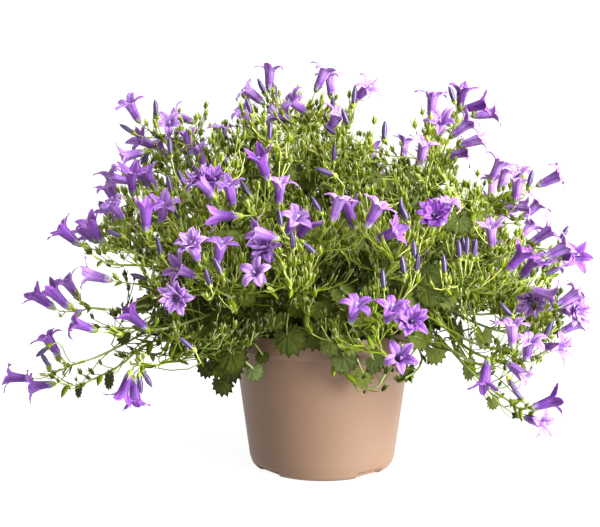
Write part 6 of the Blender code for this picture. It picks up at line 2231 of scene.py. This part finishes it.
def make_camera():
    """A camera where the photograph was taken from, with its line of sight and its lens."""
    data = bpy.data.cameras.new("view")
    data.sensor_width = SENSOR
    data.lens = FOCAL * SENSOR / PICTURE_WIDTH
    camera = bpy.data.objects.new("view", data)
    camera.location = EYE
    camera.rotation_euler = (math.pi / 2 - PITCH, 0.0, 0.0)
    bpy.context.scene.collection.objects.link(camera)
    bpy.context.scene.camera = camera


def floor_look():
    """White for the floor, with a glow that rises away from the middle."""
    made = bpy.data.materials.new("floor_white")
    made.use_nodes = True
    tree = made.node_tree
    shader = tree.nodes["Principled BSDF"]
    grain = noise(tree, FLOOR_GRAIN)
    reach = tree.nodes.new("ShaderNodeVectorMath")
    reach.operation = "LENGTH"
    tree.links.new(tree.nodes.new("ShaderNodeTexCoord").outputs["Object"], reach.inputs[0])
    glow = map_range(tree, reach.outputs["Value"], FLOOR_GLOW_REACH, FLOOR_GLOW)
    settings = {"Base Color": ramp(tree, grain, (0.3, FLOOR_DARK), (0.7, FLOOR_PALE)), "Roughness": 0.9,
                "Specular IOR Level": 0.1, "Emission Color": WHITE, "Emission Strength": glow}
    for name, value in settings.items():
        fill(tree, shader.inputs[name], value)
    return made


def make_stage():
    """A plain pale floor under a soft bright surround, with one large light at the right."""
    mesh = bpy.data.meshes.new("floor")
    half = FLOOR_SIZE / 2
    mesh.from_pydata([(-half, -half, 0), (half, -half, 0), (half, half, 0), (-half, half, 0)], [],
                     [(0, 1, 2, 3)])
    mesh.materials.append(floor_look())
    floor = bpy.data.objects.new("floor", mesh)
    bpy.context.scene.collection.objects.link(floor)
    for name, place, size, power in STUDIO_LIGHTS:
        light = bpy.data.lights.new(name, "AREA")
        light.size = size
        light.energy = power
        light.color = KEY_COLOUR
        lamp = bpy.data.objects.new(name, light)
        lamp.location = place
        aim = Vector(LIGHT_TARGET) - Vector(place)
        lamp.rotation_euler = aim.to_track_quat("-Z", "Y").to_euler()
        bpy.context.scene.collection.objects.link(lamp)
    world = bpy.data.worlds.new("surround")
    bpy.context.scene.world = world
    world.use_nodes = True
    tree = world.node_tree
    place = tree.nodes.new("ShaderNodeTexCoord")
    split = node(tree, "ShaderNodeSeparateXYZ", Vector=place.outputs["Generated"])
    total = 0.0
    for axis, (source, target) in enumerate(SURROUND):
        total = calculate(tree, "ADD", total, map_range(tree, split.outputs[axis], source, target))
    background = tree.nodes["Background"]
    fill(tree, background.inputs["Strength"], total)
    fill(tree, background.inputs["Color"], WHITE)
    bpy.context.scene.view_settings.view_transform = "Standard"


def corners():
    """The two corners of the box round everything, as plain lists."""
    return [list(corner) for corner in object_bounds()]


def grouped(items):
    """Things sorted into lists by the owner that each one starts with."""
    groups = {}
    for owner, *thing in items:
        groups.setdefault(owner, []).append(thing)
    return groups


def main():
    """Builds every visible piece, the camera and the stage, keeping new growth inside the box round the
    imported part.
    """
    cad_box = corners()
    low, high = (np.array(corner) for corner in cad_box)
    sprays, crowns = lay_out()
    petal = finish_look("petal_violet", petal_nodes, (0.42, 0.62), Subsurface_Weight=0.50,
                        Subsurface_Scale=0.0010, Subsurface_Radius=(0.9, 0.6, 1.0),
                        Specular_IOR_Level=0.2)
    style = finish_look("style_pale", style_nodes, (0.45, 0.6))
    closed = finish_look("closed_violet", closed_nodes, (0.4, 0.6))
    green = finish_look("stem_green", green_nodes, (0.45, 0.65), Subsurface_Weight=0.1,
                        Subsurface_Scale=0.0008, Specular_IOR_Level=0.05)
    sprout = finish_look("sprout_green", sprout_nodes, (0.5, 0.7), Specular_IOR_Level=0.06)
    leaf = finish_look("leaf_green", leaf_nodes, (0.45, 0.65), Specular_IOR_Level=0.09)
    bark = finish_look("crown_bark", bark_nodes, (0.7, 0.9))
    tan = finish_look("pot_tan", pot_nodes, (0.42, 0.55), Specular_IOR_Level=0.35)
    brown = finish_look("soil_brown", soil_nodes, (0.85, 1.0))
    rng = random.Random(FINE_SEED)
    make_pot(tan)
    make_soil(rng, brown)
    corolla = Corolla()
    for spray in sprays:
        petals = Piece(spray.name + "_petals")
        greens = Piece(spray.name + "_greens")
        dress_spray(rng, corolla, spray, petals, greens)
        petals.make([petal, style, closed], "blooms", spray.name)
        greens.make([green, sprout], "foliage", spray.name)
    filler = Filler(sprays, crowns, low, high)
    sprigs = grow_sprigs(rng, filler) + grow_shoots(rng, filler)
    fill_leaves = [(owner, made, rng.random() * FILL_TONE, FILL_LEAF_GRID)
                   for owner, made in grow_fill_leaves(rng, filler)]
    fill_leaves += [(owner, made, tone, LEAF_GRID) for owner, made, tone in grow_rim_leaves(rng, filler)]
    shut = grow_shown_closed(filler)
    for crown in crowns:
        stems = Piece(crown.name + "_stems")
        leaves = Piece(crown.name + "_leaves")
        dress_crown(rng, crown, stems, leaves)
        stems.make([green, bark], "foliage", crown.name)
        if leaves.count:
            leaves.make([leaf], "foliage", crown.name)
    for owner, group in grouped((sprig.owner, sprig) for sprig in sprigs).items():
        piece = Piece(owner + "_sprigs")
        for (sprig,) in group:
            add_sprig(piece, rng, sprig)
        piece.make([green, sprout, closed], "foliage")
    for owner, group in grouped(fill_leaves).items():
        piece = Piece(owner + "_fill_leaves")
        for made, tone, grid in group:
            add_leaf(piece, rng, made, *grid, tone)
            points = bezier(*made.petiole_line, FILL_PETIOLE_POINTS)
            add_tube(piece, points, (FILL_PETIOLE_RADIUS,), 4, rng.uniform(*FILL_PETIOLE_TONE), look=1)
        piece.make([leaf, green], "foliage")
    for owner, group in grouped(shut).items():
        piece = Piece(owner + "_closed")
        for line, root, tip in group:
            add_closed(piece, rng, root, tip, rng.random() * DARK_CLOSED)
            add_tube(piece, bezier(*line, 6), (PEDICEL_FINE,), 6, CLOSED_STALK_TONE)
            add_calyx(piece, rng, root, unit(tip - root), CLOSED_CALYX, rng.uniform(*CALYX_TONE))
        piece.make([green, sprout, closed], "blooms")
    make_camera()
    make_stage()


main()
